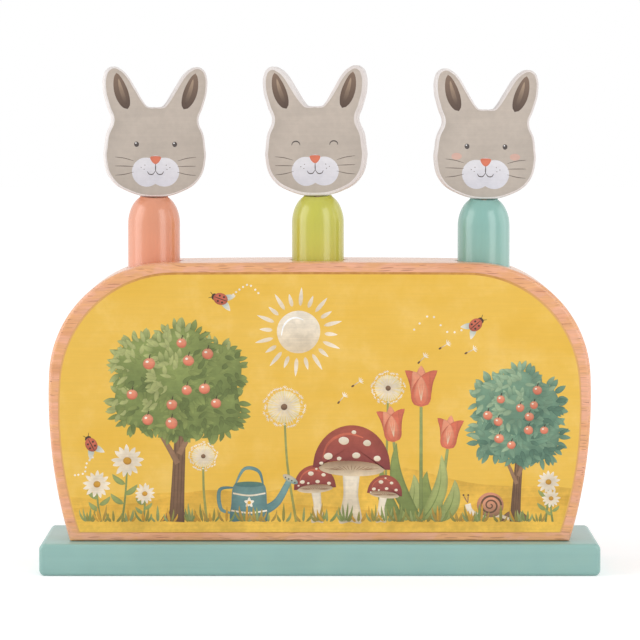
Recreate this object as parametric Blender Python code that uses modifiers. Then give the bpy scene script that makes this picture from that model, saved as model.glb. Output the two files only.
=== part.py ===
"""Pop-up toy: three rabbit heads on sprung pegs in a beech block on a painted board.

Lengths are in metres and angles in degrees. +Z is up and the front faces -Y.
The origin is the middle of the board's underside.
"""

import bpy
import bmesh
from math import acos, asin, atan2, cos, pi, radians, sin, sqrt
from mathutils import Matrix, Vector, geometry

# Clearances and cuts
SEAT_GAP = 0.0003
CUT_OVERRUN = 0.003

# Body block, whose outline is a foot, two side arcs, two corner arcs and a crown arc
BLOCK_HALF_WIDTH = 0.11525
BLOCK_HEIGHT = 0.1185
BLOCK_WIDEST_HEIGHT = 0.0607
BLOCK_SIDE_RADIUS = 0.213
BLOCK_CORNER_RADIUS = 0.0495
BLOCK_CROWN_RADIUS = 4.7
BLOCK_EDGE_RADIUS = 0.0012
BLOCK_FRONT_WALL = 0.0064

# Front panel, let into the block with a rim round it, and widest a little lower than the block
SIDE_RIM = 0.00445
TOP_RIM = 0.0044
FOOT_RIM = 0.0037
PANEL_WIDEST_DROP = 0.0047
PANEL_SIDE_RADIUS = 0.168
PANEL_CORNER_RADIUS = 0.0486
PANEL_CROWN_RADIUS = 12.0
PANEL_THICKNESS = 0.003

# Base board, which stands out past the block's foot all round
BASE_THICKNESS = 0.0137
BASE_SIDE_LEDGE = 0.0124
BASE_FRONT_LEDGE = 0.0093
BASE_CORNER_RADIUS = 0.0025
BASE_RIM_RADIUS = 0.0012

# Pegs, each with an elliptical shoulder below its flat top
OUTER_PEG_INSET = 0.0356
PEG_SHIFTS = {"left": -0.0004, "middle": -0.0008, "right": -0.0004}
PEG_RADIUS = 0.0112
PEG_CLEARANCE = 0.0007
PEG_FOOT_CHAMFER = 0.001
PEG_SHOULDER_HEIGHT = 0.0116
PEG_SHOULDER_REACH = 0.008
PEG_FLAT_RADIUS = 0.0062
HOLE_EASE = 0.0008
PRESS_TRAVEL = 0.024
PEG_LOW_STANDS = {"left": 0.0028, "middle": 0.0032, "right": 0.0018}

# Spring seats: the flange stops against the guide hole's shoulder, the spigot against the board
STOP_LAND = 0.0025
FLANGE_CLEARANCE = 0.0006
FLANGE_THICKNESS = 0.003
SPIGOT_LENGTH = 0.016
SPIGOT_WALL = 0.0035
SEAT_GRIP = 0.004

# Springs
SPRING_WIRE_RADIUS = 0.0006
SPRING_CLEARANCE = 0.0008
SPRING_CURLS = 7.5
SPRING_CLOSED_CURLS = 1
SPRING_CLOSED_GAP = 0.0005
SPRING_RECESS_DEPTH = 0.003

# Screws and washers
WASHER_RADIUS = 0.0045
WASHER_THICKNESS = 0.0008
SEAT_SCREW_RADIUS = 0.00175
SEAT_SCREW_LENGTH = 0.025
SEAT_SCREW_HEAD_RADIUS = 0.0035
SEAT_SCREW_HEAD_HEIGHT = 0.0024
BASE_SCREW_RADIUS = 0.002
BASE_SCREW_LENGTH = 0.035
BASE_SCREW_HEAD_RADIUS = 0.004
BASE_SCREW_SINK = 0.0005
SCREW_HEAD_EDGE = 0.0004
SCREW_TIP_LENGTH = 0.003
CROSS_HALF_LENGTH = 0.0018
CROSS_HALF_WIDTH = 0.0004
CROSS_DEPTH = 0.0014

# Rabbit heads, which stand and lean a little unevenly, and the dowels that hold them
HEAD_HALF_WIDTH = 0.0219
HEAD_HEIGHT = 0.0556
HEAD_THICKNESS = 0.008
HEAD_EDGE_RADIUS = 0.0007
HEAD_TURNS = {"left": 8.7, "middle": -8.5, "right": 5.4}
HEAD_SHIFTS = {"left": 0.0002, "middle": -0.0004, "right": 0.0}
HEAD_LEANS = {"left": 0.4, "middle": -0.9, "right": 1.0}
DOWEL_RADIUS = 0.002
DOWEL_LENGTH = 0.018
DOWEL_CHAMFER = 0.0004

# Half of the head's outline from the chin to the notch between the ears:
# shares of the half width and of the height
HEAD_OUTLINE_SHARES = (
    (0.0, 0.0),
    (0.48, 0.033),
    (0.855, 0.135),
    (0.99, 0.30),
    (0.975, 0.39),
    (0.945, 0.475),
    (0.843, 0.59),
    (0.925, 0.69),
    (1.01, 0.83),
    (0.987, 0.945),
    (0.93, 0.981),
    (0.81, 1.0),
    (0.68, 0.979),
    (0.58, 0.945),
    (0.374, 0.82),
    (0.21, 0.715),
    (0.165, 0.697),
    (0.09, 0.69),
    (0.0, 0.69),
)

# Fineness of the round forms
PEG_STEPS = 24
BORE_STEPS = 24
SMALL_STEPS = 12
SIDE_ARC_STEPS = 7
CORNER_ARC_STEPS = 12
CROWN_ARC_STEPS = 8
SHOULDER_STEPS = 6
EDGE_STEPS = 2
BASE_CORNER_STEPS = 4
HEAD_CURVE_STEPS = 3
HEAD_EDGE_STEPS = 1
CURL_STEPS = 10
WELD_DISTANCE = 0.00001
SMOOTH_ANGLE = 35.0
RIM_ANGLE = 60.0
FLAT_ANGLE = 0.001

# Colours, roughness and metallic value
FINISHES = {
    "beech": ((0.79, 0.44, 0.25), 0.55, 0.0),
    "yellow_print": ((0.80, 0.50, 0.10), 0.5, 0.0),
    "board_paint": ((0.29, 0.48, 0.44), 0.4, 0.0),
    "peach_paint": ((0.75, 0.31, 0.19), 0.3, 0.0),
    "green_paint": ((0.57, 0.55, 0.11), 0.3, 0.0),
    "teal_paint": ((0.28, 0.46, 0.42), 0.3, 0.0),
    "taupe_print": ((0.54, 0.48, 0.41), 0.5, 0.0),
    "plain_beech": ((0.72, 0.48, 0.30), 0.6, 0.0),
    "steel": ((0.55, 0.55, 0.56), 0.35, 1.0),
}
PEG_FINISHES = {"left": "peach_paint", "middle": "green_paint", "right": "teal_paint"}

# Levels and radii that follow from the sizes above
BLOCK_FOOT = BASE_THICKNESS + SEAT_GAP
BLOCK_WIDEST = BLOCK_FOOT + BLOCK_WIDEST_HEIGHT
BLOCK_TOP = BLOCK_FOOT + BLOCK_HEIGHT
RECESS_FLOOR = BASE_THICKNESS - SPRING_RECESS_DEPTH
SPIGOT_FOOT = RECESS_FLOOR + SEAT_GAP + PRESS_TRAVEL
FLANGE_LOW = SPIGOT_FOOT + SPIGOT_LENGTH
FLANGE_TOP = FLANGE_LOW + FLANGE_THICKNESS
PEG_FOOT = FLANGE_TOP + SEAT_GAP
COUNTERBORE_TOP = FLANGE_LOW - SEAT_GRIP
WASHER_LOW = COUNTERBORE_TOP - SEAT_GAP - WASHER_THICKNESS
SEAT_SCREW_HEAD_TOP = WASHER_LOW - SEAT_GAP
SEAT_SCREW_TOP = SEAT_SCREW_HEAD_TOP + SEAT_SCREW_LENGTH
BASE_SCREW_TOP = BASE_SCREW_SINK + BASE_SCREW_LENGTH

GUIDE_RADIUS = PEG_RADIUS + PEG_CLEARANCE
FLANGE_RADIUS = GUIDE_RADIUS + STOP_LAND
CHAMBER_RADIUS = FLANGE_RADIUS + FLANGE_CLEARANCE
COUNTERBORE_RADIUS = WASHER_RADIUS + SEAT_GAP
SPIGOT_RADIUS = COUNTERBORE_RADIUS + SPIGOT_WALL
SPRING_RADIUS = SPIGOT_RADIUS + SPRING_CLEARANCE + SPRING_WIRE_RADIUS
RECESS_RADIUS = SPRING_RADIUS + SPRING_WIRE_RADIUS + SPRING_CLEARANCE
SEAT_SCREW_BORE_RADIUS = SEAT_SCREW_RADIUS + SEAT_GAP
BASE_SCREW_BORE_RADIUS = BASE_SCREW_RADIUS + SEAT_GAP
DOWEL_BORE_RADIUS = DOWEL_RADIUS + SEAT_GAP

POCKET_DEPTH = PANEL_THICKNESS + SEAT_GAP
BLOCK_HALF_DEPTH = CHAMBER_RADIUS + BLOCK_FRONT_WALL + POCKET_DEPTH
FRONT = -BLOCK_HALF_DEPTH


def clear_scene():
    for thing in list(bpy.data.objects):
        bpy.data.objects.remove(thing)


def new_collection(name):
    collection = bpy.data.collections.new(name)
    bpy.context.scene.collection.children.link(collection)
    return collection


def make_materials():
    materials = {}
    for name, (colour, roughness, metallic) in FINISHES.items():
        material = bpy.data.materials.new(name)
        material.use_nodes = True
        shader = material.node_tree.nodes["Principled BSDF"]
        shader.inputs["Base Color"].default_value = (*colour, 1.0)
        shader.inputs["Roughness"].default_value = roughness
        shader.inputs["Metallic"].default_value = metallic
        material.diffuse_color = (*colour, 1.0)
        materials[name] = material
    return materials


def new_object(name, data, collection, parent=None):
    thing = bpy.data.objects.new(name, data)
    collection.objects.link(thing)
    thing.parent = parent
    return thing


def paint(thing, finish):
    thing.data.materials.clear()
    thing.data.materials.append(materials[finish])


def shade_round(mesh):
    mesh.shade_smooth()
    mesh.set_sharp_from_angle(angle=radians(SMOOTH_ANGLE))


def divides_flat_face(edge):
    """Whether an edge only divides a flat face; an upright one may be part of a shallow curve."""
    run = edge.verts[1].co - edge.verts[0].co
    return run.xy.length > WELD_DISTANCE and edge.calc_face_angle() < FLAT_ANGLE


def baked(thing):
    """Replace a curve or a profile by the mesh that it makes, welded shut."""
    bpy.context.view_layer.update()
    evaluated = thing.evaluated_get(bpy.context.evaluated_depsgraph_get())
    mesh = bpy.data.meshes.new_from_object(evaluated)
    work = bmesh.new()
    work.from_mesh(mesh)
    bmesh.ops.remove_doubles(work, verts=work.verts, dist=WELD_DISTANCE)
    inner_edges = [edge for edge in work.edges if divides_flat_face(edge)]
    bmesh.ops.dissolve_edges(work, edges=inner_edges)
    work.to_mesh(mesh)
    work.free()
    name = thing.name
    collection = thing.users_collection[0]
    parent = thing.parent
    place = thing.matrix_world.copy()
    bpy.data.objects.remove(thing)
    solid = new_object(name, mesh, collection, parent)
    solid.matrix_world = place
    shade_round(mesh)
    return solid


def arc(centre, radius, start, end, steps):
    """Points along an arc in the XZ plane, from one angle to another in radians."""
    points = []
    for step in range(steps + 1):
        angle = start + (end - start) * step / steps
        points.append((centre[0] + radius * cos(angle), centre[1] + radius * sin(angle)))
    return points


def loaf_outline(half_width, foot, widest, top, radii):
    """A loaf's outline, anticlockwise from the right end of its foot."""
    side_radius, corner_radius, crown_radius = radii
    side = Vector((half_width - side_radius, widest))
    crown = Vector((0, top - crown_radius))
    meetings = geometry.intersect_sphere_sphere_2d(
        side, side_radius - corner_radius, crown, crown_radius - corner_radius)
    corner = max(meetings, key=lambda place: place.x)
    foot_angle = asin((foot - widest) / side_radius)
    side_end = atan2(corner.y - side.y, corner.x - side.x)
    corner_end = atan2(corner.y - crown.y, corner.x - crown.x)
    half = arc(side, side_radius, foot_angle, side_end, SIDE_ARC_STEPS)
    half += arc(corner, corner_radius, side_end, corner_end, CORNER_ARC_STEPS)[1:]
    half += arc(crown, crown_radius, corner_end, pi / 2, CROWN_ARC_STEPS // 2)[1:]
    return half + [(-x, z) for x, z in reversed(half[:-1])]


def block_outline():
    radii = (BLOCK_SIDE_RADIUS, BLOCK_CORNER_RADIUS, BLOCK_CROWN_RADIUS)
    return loaf_outline(BLOCK_HALF_WIDTH, BLOCK_FOOT, BLOCK_WIDEST, BLOCK_TOP, radii)


def panel_outline(gap):
    """The panel's outline, or with a gap the outline of the pocket that holds it."""
    radii = (PANEL_SIDE_RADIUS + gap, PANEL_CORNER_RADIUS + gap, PANEL_CROWN_RADIUS + gap)
    half_width = BLOCK_HALF_WIDTH - SIDE_RIM + gap
    foot = BLOCK_FOOT + FOOT_RIM - gap
    top = BLOCK_TOP - TOP_RIM + gap
    return loaf_outline(half_width, foot, BLOCK_WIDEST - PANEL_WIDEST_DROP, top, radii)


def base_outline():
    """The base board's outline from the front, with a round corner at each end of its edges."""
    across = BLOCK_FOOT_HALF_WIDTH + BASE_SIDE_LEDGE - BASE_CORNER_RADIUS
    low = BASE_CORNER_RADIUS
    high = BASE_THICKNESS - BASE_CORNER_RADIUS
    corners = ((across, low, -90), (across, high, 0), (-across, high, 90), (-across, low, 180))
    outline = []
    for x, z, start in corners:
        first, last = radians(start), radians(start + 90)
        outline += arc((x, z), BASE_CORNER_RADIUS, first, last, BASE_CORNER_STEPS)
    return outline


def crown_height(x):
    """Height of the block's top at a distance from its middle."""
    return BLOCK_TOP - BLOCK_CROWN_RADIUS + sqrt(BLOCK_CROWN_RADIUS ** 2 - x ** 2)


def slab(name, outline, low_y, high_y, collection, parent=None, smooth=False):
    """An upright board whose outline lies in the XZ plane, between two Y values."""
    curve = bpy.data.curves.new(name, "CURVE")
    curve.dimensions = "2D"
    curve.fill_mode = "BOTH"
    curve.extrude = (high_y - low_y) / 2
    curve.resolution_u = HEAD_CURVE_STEPS
    if smooth:
        spline = curve.splines.new("BEZIER")
        spline.bezier_points.add(len(outline) - 1)
        for point, (x, z) in zip(spline.bezier_points, outline):
            point.co = (x, z, 0)
            point.handle_left_type = "AUTO"
            point.handle_right_type = "AUTO"
    else:
        spline = curve.splines.new("POLY")
        spline.points.add(len(outline) - 1)
        for point, (x, z) in zip(spline.points, outline):
            point.co = (x, z, 0, 1)
    spline.use_cyclic_u = True
    board = new_object(name, curve, collection, parent)
    board.location = (0, (low_y + high_y) / 2, 0)
    board.rotation_euler = (radians(90), 0, 0)
    return baked(board)


def turned(name, profile, steps, collection, parent=None):
    """A turned solid: the profile runs from the axis at the top to the axis at the bottom."""
    mesh = bpy.data.meshes.new(name)
    work = bmesh.new()
    corners = [work.verts.new((radius, 0, height)) for radius, height in profile]
    for first, second in zip(corners, corners[1:]):
        work.edges.new((first, second))
    work.to_mesh(mesh)
    work.free()
    solid = new_object(name, mesh, collection, parent)
    screw = solid.modifiers.new("turn", "SCREW")
    screw.axis = "Z"
    screw.angle = radians(360)
    screw.steps = steps
    screw.render_steps = steps
    screw.use_merge_vertices = True
    screw.merge_threshold = WELD_DISTANCE
    return baked(solid)


def cutter_round(name, profile, steps, x):
    """A turned cutter that stands upright at a distance from the block's middle."""
    cutter = hidden(turned(name, profile, steps, cutters))
    cutter.location.x = x
    return cutter


def hidden(cutter):
    cutter.hide_render = True
    cutter.display_type = "WIRE"
    return cutter


def cut(target, cutter):
    boolean = target.modifiers.new(cutter.name, "BOOLEAN")
    boolean.operation = "DIFFERENCE"
    boolean.object = cutter


def ease(target, radius, steps, weighted=False):
    """Round the edges of a solid, or only its weighted ones."""
    bevel = target.modifiers.new("edges", "BEVEL")
    bevel.width = radius
    bevel.segments = steps
    bevel.limit_method = "WEIGHT" if weighted else "ANGLE"
    bevel.angle_limit = radians(RIM_ANGLE)


def weigh_rims(mesh, foot):
    """Give full bevel weight to a slab's front and back rims, but not to its foot."""
    work = bmesh.new()
    work.from_mesh(mesh)
    weight = work.edges.layers.float.new("bevel_weight_edge")
    for edge in work.edges:
        first, second = (corner.co for corner in edge.verts)
        on_face = abs(first.z - second.z) < WELD_DISTANCE
        on_foot = max(first.y, second.y) < foot + WELD_DISTANCE
        on_rim = edge.calc_face_angle() > radians(RIM_ANGLE)
        edge[weight] = 1.0 if on_face and on_rim and not on_foot else 0.0
    work.to_mesh(mesh)
    work.free()


def cross_cutter(name, x, low, high):
    """A cross-shaped cutter for a screw's drive, between two heights."""
    long, short = CROSS_HALF_LENGTH, CROSS_HALF_WIDTH
    corner = ((long, -short), (long, short), (short, short))
    outline = []
    for turn in range(4):
        spin = Matrix.Rotation(radians(90) * turn, 2)
        outline += [tuple(spin @ Vector(point)) for point in corner]
    curve = bpy.data.curves.new(name, "CURVE")
    curve.dimensions = "2D"
    curve.fill_mode = "BOTH"
    curve.extrude = (high - low) / 2
    spline = curve.splines.new("POLY")
    spline.points.add(len(outline) - 1)
    for point, (across, along) in zip(spline.points, outline):
        point.co = (across, along, 0, 1)
    spline.use_cyclic_u = True
    cutter = new_object(name, curve, cutters)
    cutter.location = (x, 0, (low + high) / 2)
    return hidden(baked(cutter))


def base_screw_places():
    """Where the base screws stand: between the bores, and outside the outer ones."""
    between = PEG_PLACES["right"] / 2
    outside = (PEG_PLACES["right"] + CHAMBER_RADIUS + BLOCK_FOOT_HALF_WIDTH) / 2
    return (-outside, -between, between, outside)


def make_base_board():
    half_depth = BLOCK_HALF_DEPTH + BASE_FRONT_LEDGE
    board = slab("base_board", base_outline(), -half_depth, half_depth, toy)
    ease(board, BASE_RIM_RADIUS, EDGE_STEPS)
    for side, x in PEG_PLACES.items():
        recess = (
            (0, BASE_THICKNESS + CUT_OVERRUN),
            (RECESS_RADIUS, BASE_THICKNESS + CUT_OVERRUN),
            (RECESS_RADIUS, RECESS_FLOOR),
            (0, RECESS_FLOOR),
        )
        cut(board, cutter_round(f"cut_recess_{side}", recess, BORE_STEPS, x))
    countersink_top = BASE_SCREW_SINK + BASE_SCREW_HEAD_RADIUS - BASE_SCREW_RADIUS + SEAT_GAP
    countersink_top += SCREW_HEAD_EDGE
    head_hole_radius = BASE_SCREW_HEAD_RADIUS + SEAT_GAP
    for number, x in enumerate(base_screw_places(), start=1):
        hole = (
            (0, BASE_THICKNESS + CUT_OVERRUN),
            (BASE_SCREW_BORE_RADIUS, BASE_THICKNESS + CUT_OVERRUN),
            (BASE_SCREW_BORE_RADIUS, countersink_top),
            (head_hole_radius, BASE_SCREW_SINK + SCREW_HEAD_EDGE + SEAT_GAP),
            (head_hole_radius, -CUT_OVERRUN),
            (0, -CUT_OVERRUN),
        )
        cut(board, cutter_round(f"cut_screw_hole_{number}", hole, SMALL_STEPS, x))
    paint(board, "board_paint")


def make_body_block():
    block = slab("body_block", block_outline(), FRONT, BLOCK_HALF_DEPTH, toy)
    weigh_rims(block.data, BLOCK_FOOT)
    ease(block, BLOCK_EDGE_RADIUS, EDGE_STEPS, weighted=True)
    outline = panel_outline(SEAT_GAP)
    pocket = slab("cut_pocket", outline, FRONT - CUT_OVERRUN, FRONT + POCKET_DEPTH, cutters)
    cut(block, hidden(pocket))
    for side, x in PEG_PLACES.items():
        bore = (
            (0, BLOCK_TOP + CUT_OVERRUN),
            (GUIDE_RADIUS, BLOCK_TOP + CUT_OVERRUN),
            (GUIDE_RADIUS, PEG_FOOT),
            (CHAMBER_RADIUS, PEG_FOOT),
            (CHAMBER_RADIUS, BLOCK_FOOT - CUT_OVERRUN),
            (0, BLOCK_FOOT - CUT_OVERRUN),
        )
        cut(block, cutter_round(f"cut_bore_{side}", bore, BORE_STEPS, x))
        mouth = (
            (0, CUT_OVERRUN),
            (GUIDE_RADIUS + HOLE_EASE + CUT_OVERRUN, CUT_OVERRUN),
            (GUIDE_RADIUS - CUT_OVERRUN, -HOLE_EASE - CUT_OVERRUN),
            (0, -HOLE_EASE - CUT_OVERRUN),
        )
        cone = cutter_round(f"cut_mouth_{side}", mouth, BORE_STEPS, x)
        cone.location.z = crown_height(x)
        cone.rotation_euler.y = asin(x / BLOCK_CROWN_RADIUS)
        cut(block, cone)
    for number, x in enumerate(base_screw_places(), start=1):
        pilot = (
            (0, BASE_SCREW_TOP + SEAT_GAP),
            (BASE_SCREW_BORE_RADIUS, BASE_SCREW_TOP + SEAT_GAP),
            (BASE_SCREW_BORE_RADIUS, BLOCK_FOOT - CUT_OVERRUN),
            (0, BLOCK_FOOT - CUT_OVERRUN),
        )
        cut(block, cutter_round(f"cut_pilot_{number}", pilot, SMALL_STEPS, x))
    paint(block, "beech")


def make_front_panel():
    panel = slab("front_panel", panel_outline(0), FRONT, FRONT + PANEL_THICKNESS, toy)
    paint(panel, "yellow_print")


def make_base_screw(number, x):
    """A countersunk screw, driven up through the board into the block."""
    head_top = BASE_SCREW_SINK + SCREW_HEAD_EDGE + BASE_SCREW_HEAD_RADIUS - BASE_SCREW_RADIUS
    profile = (
        (0, BASE_SCREW_TOP),
        (BASE_SCREW_RADIUS, BASE_SCREW_TOP - SCREW_TIP_LENGTH),
        (BASE_SCREW_RADIUS, head_top),
        (BASE_SCREW_HEAD_RADIUS, BASE_SCREW_SINK + SCREW_HEAD_EDGE),
        (BASE_SCREW_HEAD_RADIUS, BASE_SCREW_SINK),
        (0, BASE_SCREW_SINK),
    )
    screw = turned(f"base_screw_{number}", profile, SMALL_STEPS, toy)
    screw.location.x = x
    low = BASE_SCREW_SINK - CUT_OVERRUN
    high = BASE_SCREW_SINK + CROSS_DEPTH
    cut(screw, cross_cutter(f"cut_base_cross_{number}", x, low, high))
    paint(screw, "steel")


def make_lift(side, parent):
    """What slides with a figure but doesn't turn: the spring seat, and the spring below it."""
    profile = (
        (SEAT_SCREW_BORE_RADIUS, FLANGE_TOP),
        (FLANGE_RADIUS, FLANGE_TOP),
        (FLANGE_RADIUS, FLANGE_LOW),
        (SPIGOT_RADIUS, FLANGE_LOW),
        (SPIGOT_RADIUS, SPIGOT_FOOT),
        (COUNTERBORE_RADIUS, SPIGOT_FOOT),
        (COUNTERBORE_RADIUS, COUNTERBORE_TOP),
        (SEAT_SCREW_BORE_RADIUS, COUNTERBORE_TOP),
        (SEAT_SCREW_BORE_RADIUS, FLANGE_TOP),
    )
    seat = turned(f"{side}_spring_seat", profile, PEG_STEPS, toy, parent)
    paint(seat, "plain_beech")
    make_spring(side, parent)


def make_spring(side, parent):
    """A coil spring with a closed curl at each end."""
    low = RECESS_FLOOR + SEAT_GAP + SPRING_WIRE_RADIUS
    high = FLANGE_LOW - SEAT_GAP - SPRING_WIRE_RADIUS
    closed_pitch = 2 * SPRING_WIRE_RADIUS + SPRING_CLOSED_GAP
    closed_rise = closed_pitch * SPRING_CLOSED_CURLS
    open_curls = SPRING_CURLS - 2 * SPRING_CLOSED_CURLS
    open_pitch = (high - low - 2 * closed_rise) / open_curls
    count = round(SPRING_CURLS * CURL_STEPS)
    curve = bpy.data.curves.new(f"{side}_spring", "CURVE")
    curve.dimensions = "3D"
    curve.bevel_depth = SPRING_WIRE_RADIUS
    curve.bevel_resolution = 1
    curve.use_fill_caps = True
    spline = curve.splines.new("POLY")
    spline.points.add(count)
    for step, point in enumerate(spline.points):
        curls = step / CURL_STEPS
        first = min(curls, SPRING_CLOSED_CURLS)
        last = max(curls - SPRING_CURLS + SPRING_CLOSED_CURLS, 0)
        middle = curls - first - last
        rise = (first + last) * closed_pitch + middle * open_pitch
        angle = 2 * pi * curls
        point.co = (SPRING_RADIUS * cos(angle), SPRING_RADIUS * sin(angle), low + rise, 1)
    spring = new_object(f"{side}_spring", curve, toy, parent)
    paint(baked(spring), "steel")
    if side == "middle":
        print("least gap between a spring's curls:", min(closed_pitch, open_pitch) - 2 * SPRING_WIRE_RADIUS)


def make_peg(side, parent, top):
    """A round peg with a flat top, a blind dowel hole above and a blind screw hole below."""
    dowel_floor = top - DOWEL_LENGTH / 2 - SEAT_GAP
    pilot_top = max(SEAT_SCREW_TOP, PEG_FOOT) + SEAT_GAP
    shoulder_low = top - PEG_SHOULDER_HEIGHT
    sweep = acos(1 - (PEG_RADIUS - PEG_FLAT_RADIUS) / PEG_SHOULDER_REACH)
    profile = [(0, dowel_floor), (DOWEL_BORE_RADIUS, dowel_floor), (DOWEL_BORE_RADIUS, top)]
    for step in range(SHOULDER_STEPS, -1, -1):
        angle = sweep * step / SHOULDER_STEPS
        radius = PEG_RADIUS - PEG_SHOULDER_REACH * (1 - cos(angle))
        profile.append((radius, shoulder_low + PEG_SHOULDER_HEIGHT * sin(angle) / sin(sweep)))
    profile += [
        (PEG_RADIUS, PEG_FOOT + PEG_FOOT_CHAMFER),
        (PEG_RADIUS - PEG_FOOT_CHAMFER, PEG_FOOT),
        (SEAT_SCREW_BORE_RADIUS, PEG_FOOT),
        (SEAT_SCREW_BORE_RADIUS, pilot_top),
        (0, pilot_top),
    ]
    peg = turned(f"{side}_peg", profile, PEG_STEPS, toy, parent)
    paint(peg, PEG_FINISHES[side])


def make_seat_fixings(side, parent):
    """The pan-head screw that holds the spring seat to the peg, and the washer under its head."""
    head_low = SEAT_SCREW_HEAD_TOP - SEAT_SCREW_HEAD_HEIGHT
    profile = (
        (0, SEAT_SCREW_TOP),
        (SEAT_SCREW_RADIUS, SEAT_SCREW_TOP - SCREW_TIP_LENGTH),
        (SEAT_SCREW_RADIUS, SEAT_SCREW_HEAD_TOP),
        (SEAT_SCREW_HEAD_RADIUS, SEAT_SCREW_HEAD_TOP),
        (SEAT_SCREW_HEAD_RADIUS, head_low + SCREW_HEAD_EDGE),
        (SEAT_SCREW_HEAD_RADIUS - SCREW_HEAD_EDGE, head_low),
        (0, head_low),
    )
    screw = turned(f"{side}_seat_screw", profile, SMALL_STEPS, toy, parent)
    x = PEG_PLACES[side]
    cut(screw, cross_cutter(f"cut_seat_cross_{side}", x, head_low - CUT_OVERRUN, head_low + CROSS_DEPTH))
    paint(screw, "steel")
    ring = (
        (SEAT_SCREW_BORE_RADIUS, WASHER_LOW + WASHER_THICKNESS),
        (WASHER_RADIUS, WASHER_LOW + WASHER_THICKNESS),
        (WASHER_RADIUS, WASHER_LOW),
        (SEAT_SCREW_BORE_RADIUS, WASHER_LOW),
        (SEAT_SCREW_BORE_RADIUS, WASHER_LOW + WASHER_THICKNESS),
    )
    washer = turned(f"{side}_seat_washer", ring, SMALL_STEPS, toy, parent)
    paint(washer, "steel")


def make_head(side, parent, chin):
    """A flat rabbit head, and the dowel that joins it to its peg."""
    half = [(x * HEAD_HALF_WIDTH, z * HEAD_HEIGHT) for x, z in HEAD_OUTLINE_SHARES]
    whole = half + [(-x, z) for x, z in reversed(half[1:-1])]
    lean = Matrix.Rotation(-radians(HEAD_LEANS[side]), 2)
    start = Vector((HEAD_SHIFTS[side], chin))
    outline = [tuple(start + lean @ Vector(point)) for point in whole]
    head = slab(f"{side}_head", outline, -HEAD_THICKNESS / 2, HEAD_THICKNESS / 2, toy, smooth=True)
    head.parent = parent
    ease(head, HEAD_EDGE_RADIUS, HEAD_EDGE_STEPS)
    dowel_top = chin + DOWEL_LENGTH / 2
    socket = (
        (0, dowel_top + SEAT_GAP),
        (DOWEL_BORE_RADIUS, dowel_top + SEAT_GAP),
        (DOWEL_BORE_RADIUS, chin - CUT_OVERRUN),
        (0, chin - CUT_OVERRUN),
    )
    cut(head, cutter_round(f"cut_socket_{side}", socket, SMALL_STEPS, PEG_PLACES[side]))
    paint(head, "taupe_print")
    dowel_low = dowel_top - DOWEL_LENGTH
    profile = (
        (0, dowel_top),
        (DOWEL_RADIUS - DOWEL_CHAMFER, dowel_top),
        (DOWEL_RADIUS, dowel_top - DOWEL_CHAMFER),
        (DOWEL_RADIUS, dowel_low + DOWEL_CHAMFER),
        (DOWEL_RADIUS - DOWEL_CHAMFER, dowel_low),
        (0, dowel_low),
    )
    dowel = turned(f"{side}_neck_dowel", profile, SMALL_STEPS, toy, parent)
    paint(dowel, "plain_beech")


def make_figure(side):
    """One figure: an empty on its axis that slides, and one on it that turns."""
    lift = new_object(f"{side}_lift", None, toy)
    lift.location.x = PEG_PLACES[side]
    turn = new_object(f"{side}_turn", None, toy, lift)
    turn.rotation_euler.z = radians(HEAD_TURNS[side])
    bpy.context.view_layer.update()
    top = BLOCK_TOP + PRESS_TRAVEL + PEG_LOW_STANDS[side]
    make_lift(side, lift)
    make_peg(side, turn, top)
    make_seat_fixings(side, turn)
    make_head(side, turn, top + SEAT_GAP)


clear_scene()
toy = new_collection("pop_up_toy")
cutters = new_collection("cutters")
materials = make_materials()

BLOCK_FOOT_HALF_WIDTH = block_outline()[0][0]
OUTER_PEG_PLACE = BLOCK_FOOT_HALF_WIDTH - OUTER_PEG_INSET
EVEN_PLACES = {"left": -OUTER_PEG_PLACE, "middle": 0, "right": OUTER_PEG_PLACE}
PEG_PLACES = {side: place + PEG_SHIFTS[side] for side, place in EVEN_PLACES.items()}

make_base_board()
make_body_block()
make_front_panel()
for number, x in enumerate(base_screw_places(), start=1):
    make_base_screw(number, x)
for side in PEG_PLACES:
    make_figure(side)
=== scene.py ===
"""The looks of the pop-up toy: fine wood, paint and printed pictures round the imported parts.

Lengths are in metres, except in the pictures, which are drawn in millimetres on their boards.
Colours are written as screen values from 0 to 255.
"""

from math import acos, asin, atan2, cos, degrees, hypot, pi, radians, sin, sqrt
from random import Random

import bmesh
import bpy
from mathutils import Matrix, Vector, geometry


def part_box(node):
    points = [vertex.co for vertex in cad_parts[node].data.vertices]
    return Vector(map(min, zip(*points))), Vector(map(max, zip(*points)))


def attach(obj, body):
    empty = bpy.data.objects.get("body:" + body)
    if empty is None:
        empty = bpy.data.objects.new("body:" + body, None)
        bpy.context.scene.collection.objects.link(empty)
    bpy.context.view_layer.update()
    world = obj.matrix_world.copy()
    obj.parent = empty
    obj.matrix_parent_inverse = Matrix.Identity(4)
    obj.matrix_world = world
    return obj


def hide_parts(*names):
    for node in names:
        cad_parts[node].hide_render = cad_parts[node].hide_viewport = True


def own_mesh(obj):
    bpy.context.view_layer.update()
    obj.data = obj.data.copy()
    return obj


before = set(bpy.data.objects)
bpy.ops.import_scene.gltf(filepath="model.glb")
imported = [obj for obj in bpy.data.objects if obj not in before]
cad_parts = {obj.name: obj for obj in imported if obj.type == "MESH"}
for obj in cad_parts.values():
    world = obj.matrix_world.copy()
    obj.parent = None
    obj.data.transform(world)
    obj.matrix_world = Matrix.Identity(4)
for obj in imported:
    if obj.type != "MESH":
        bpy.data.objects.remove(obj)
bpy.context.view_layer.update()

MM = 0.001
SIDES = ("left", "middle", "right")

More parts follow.
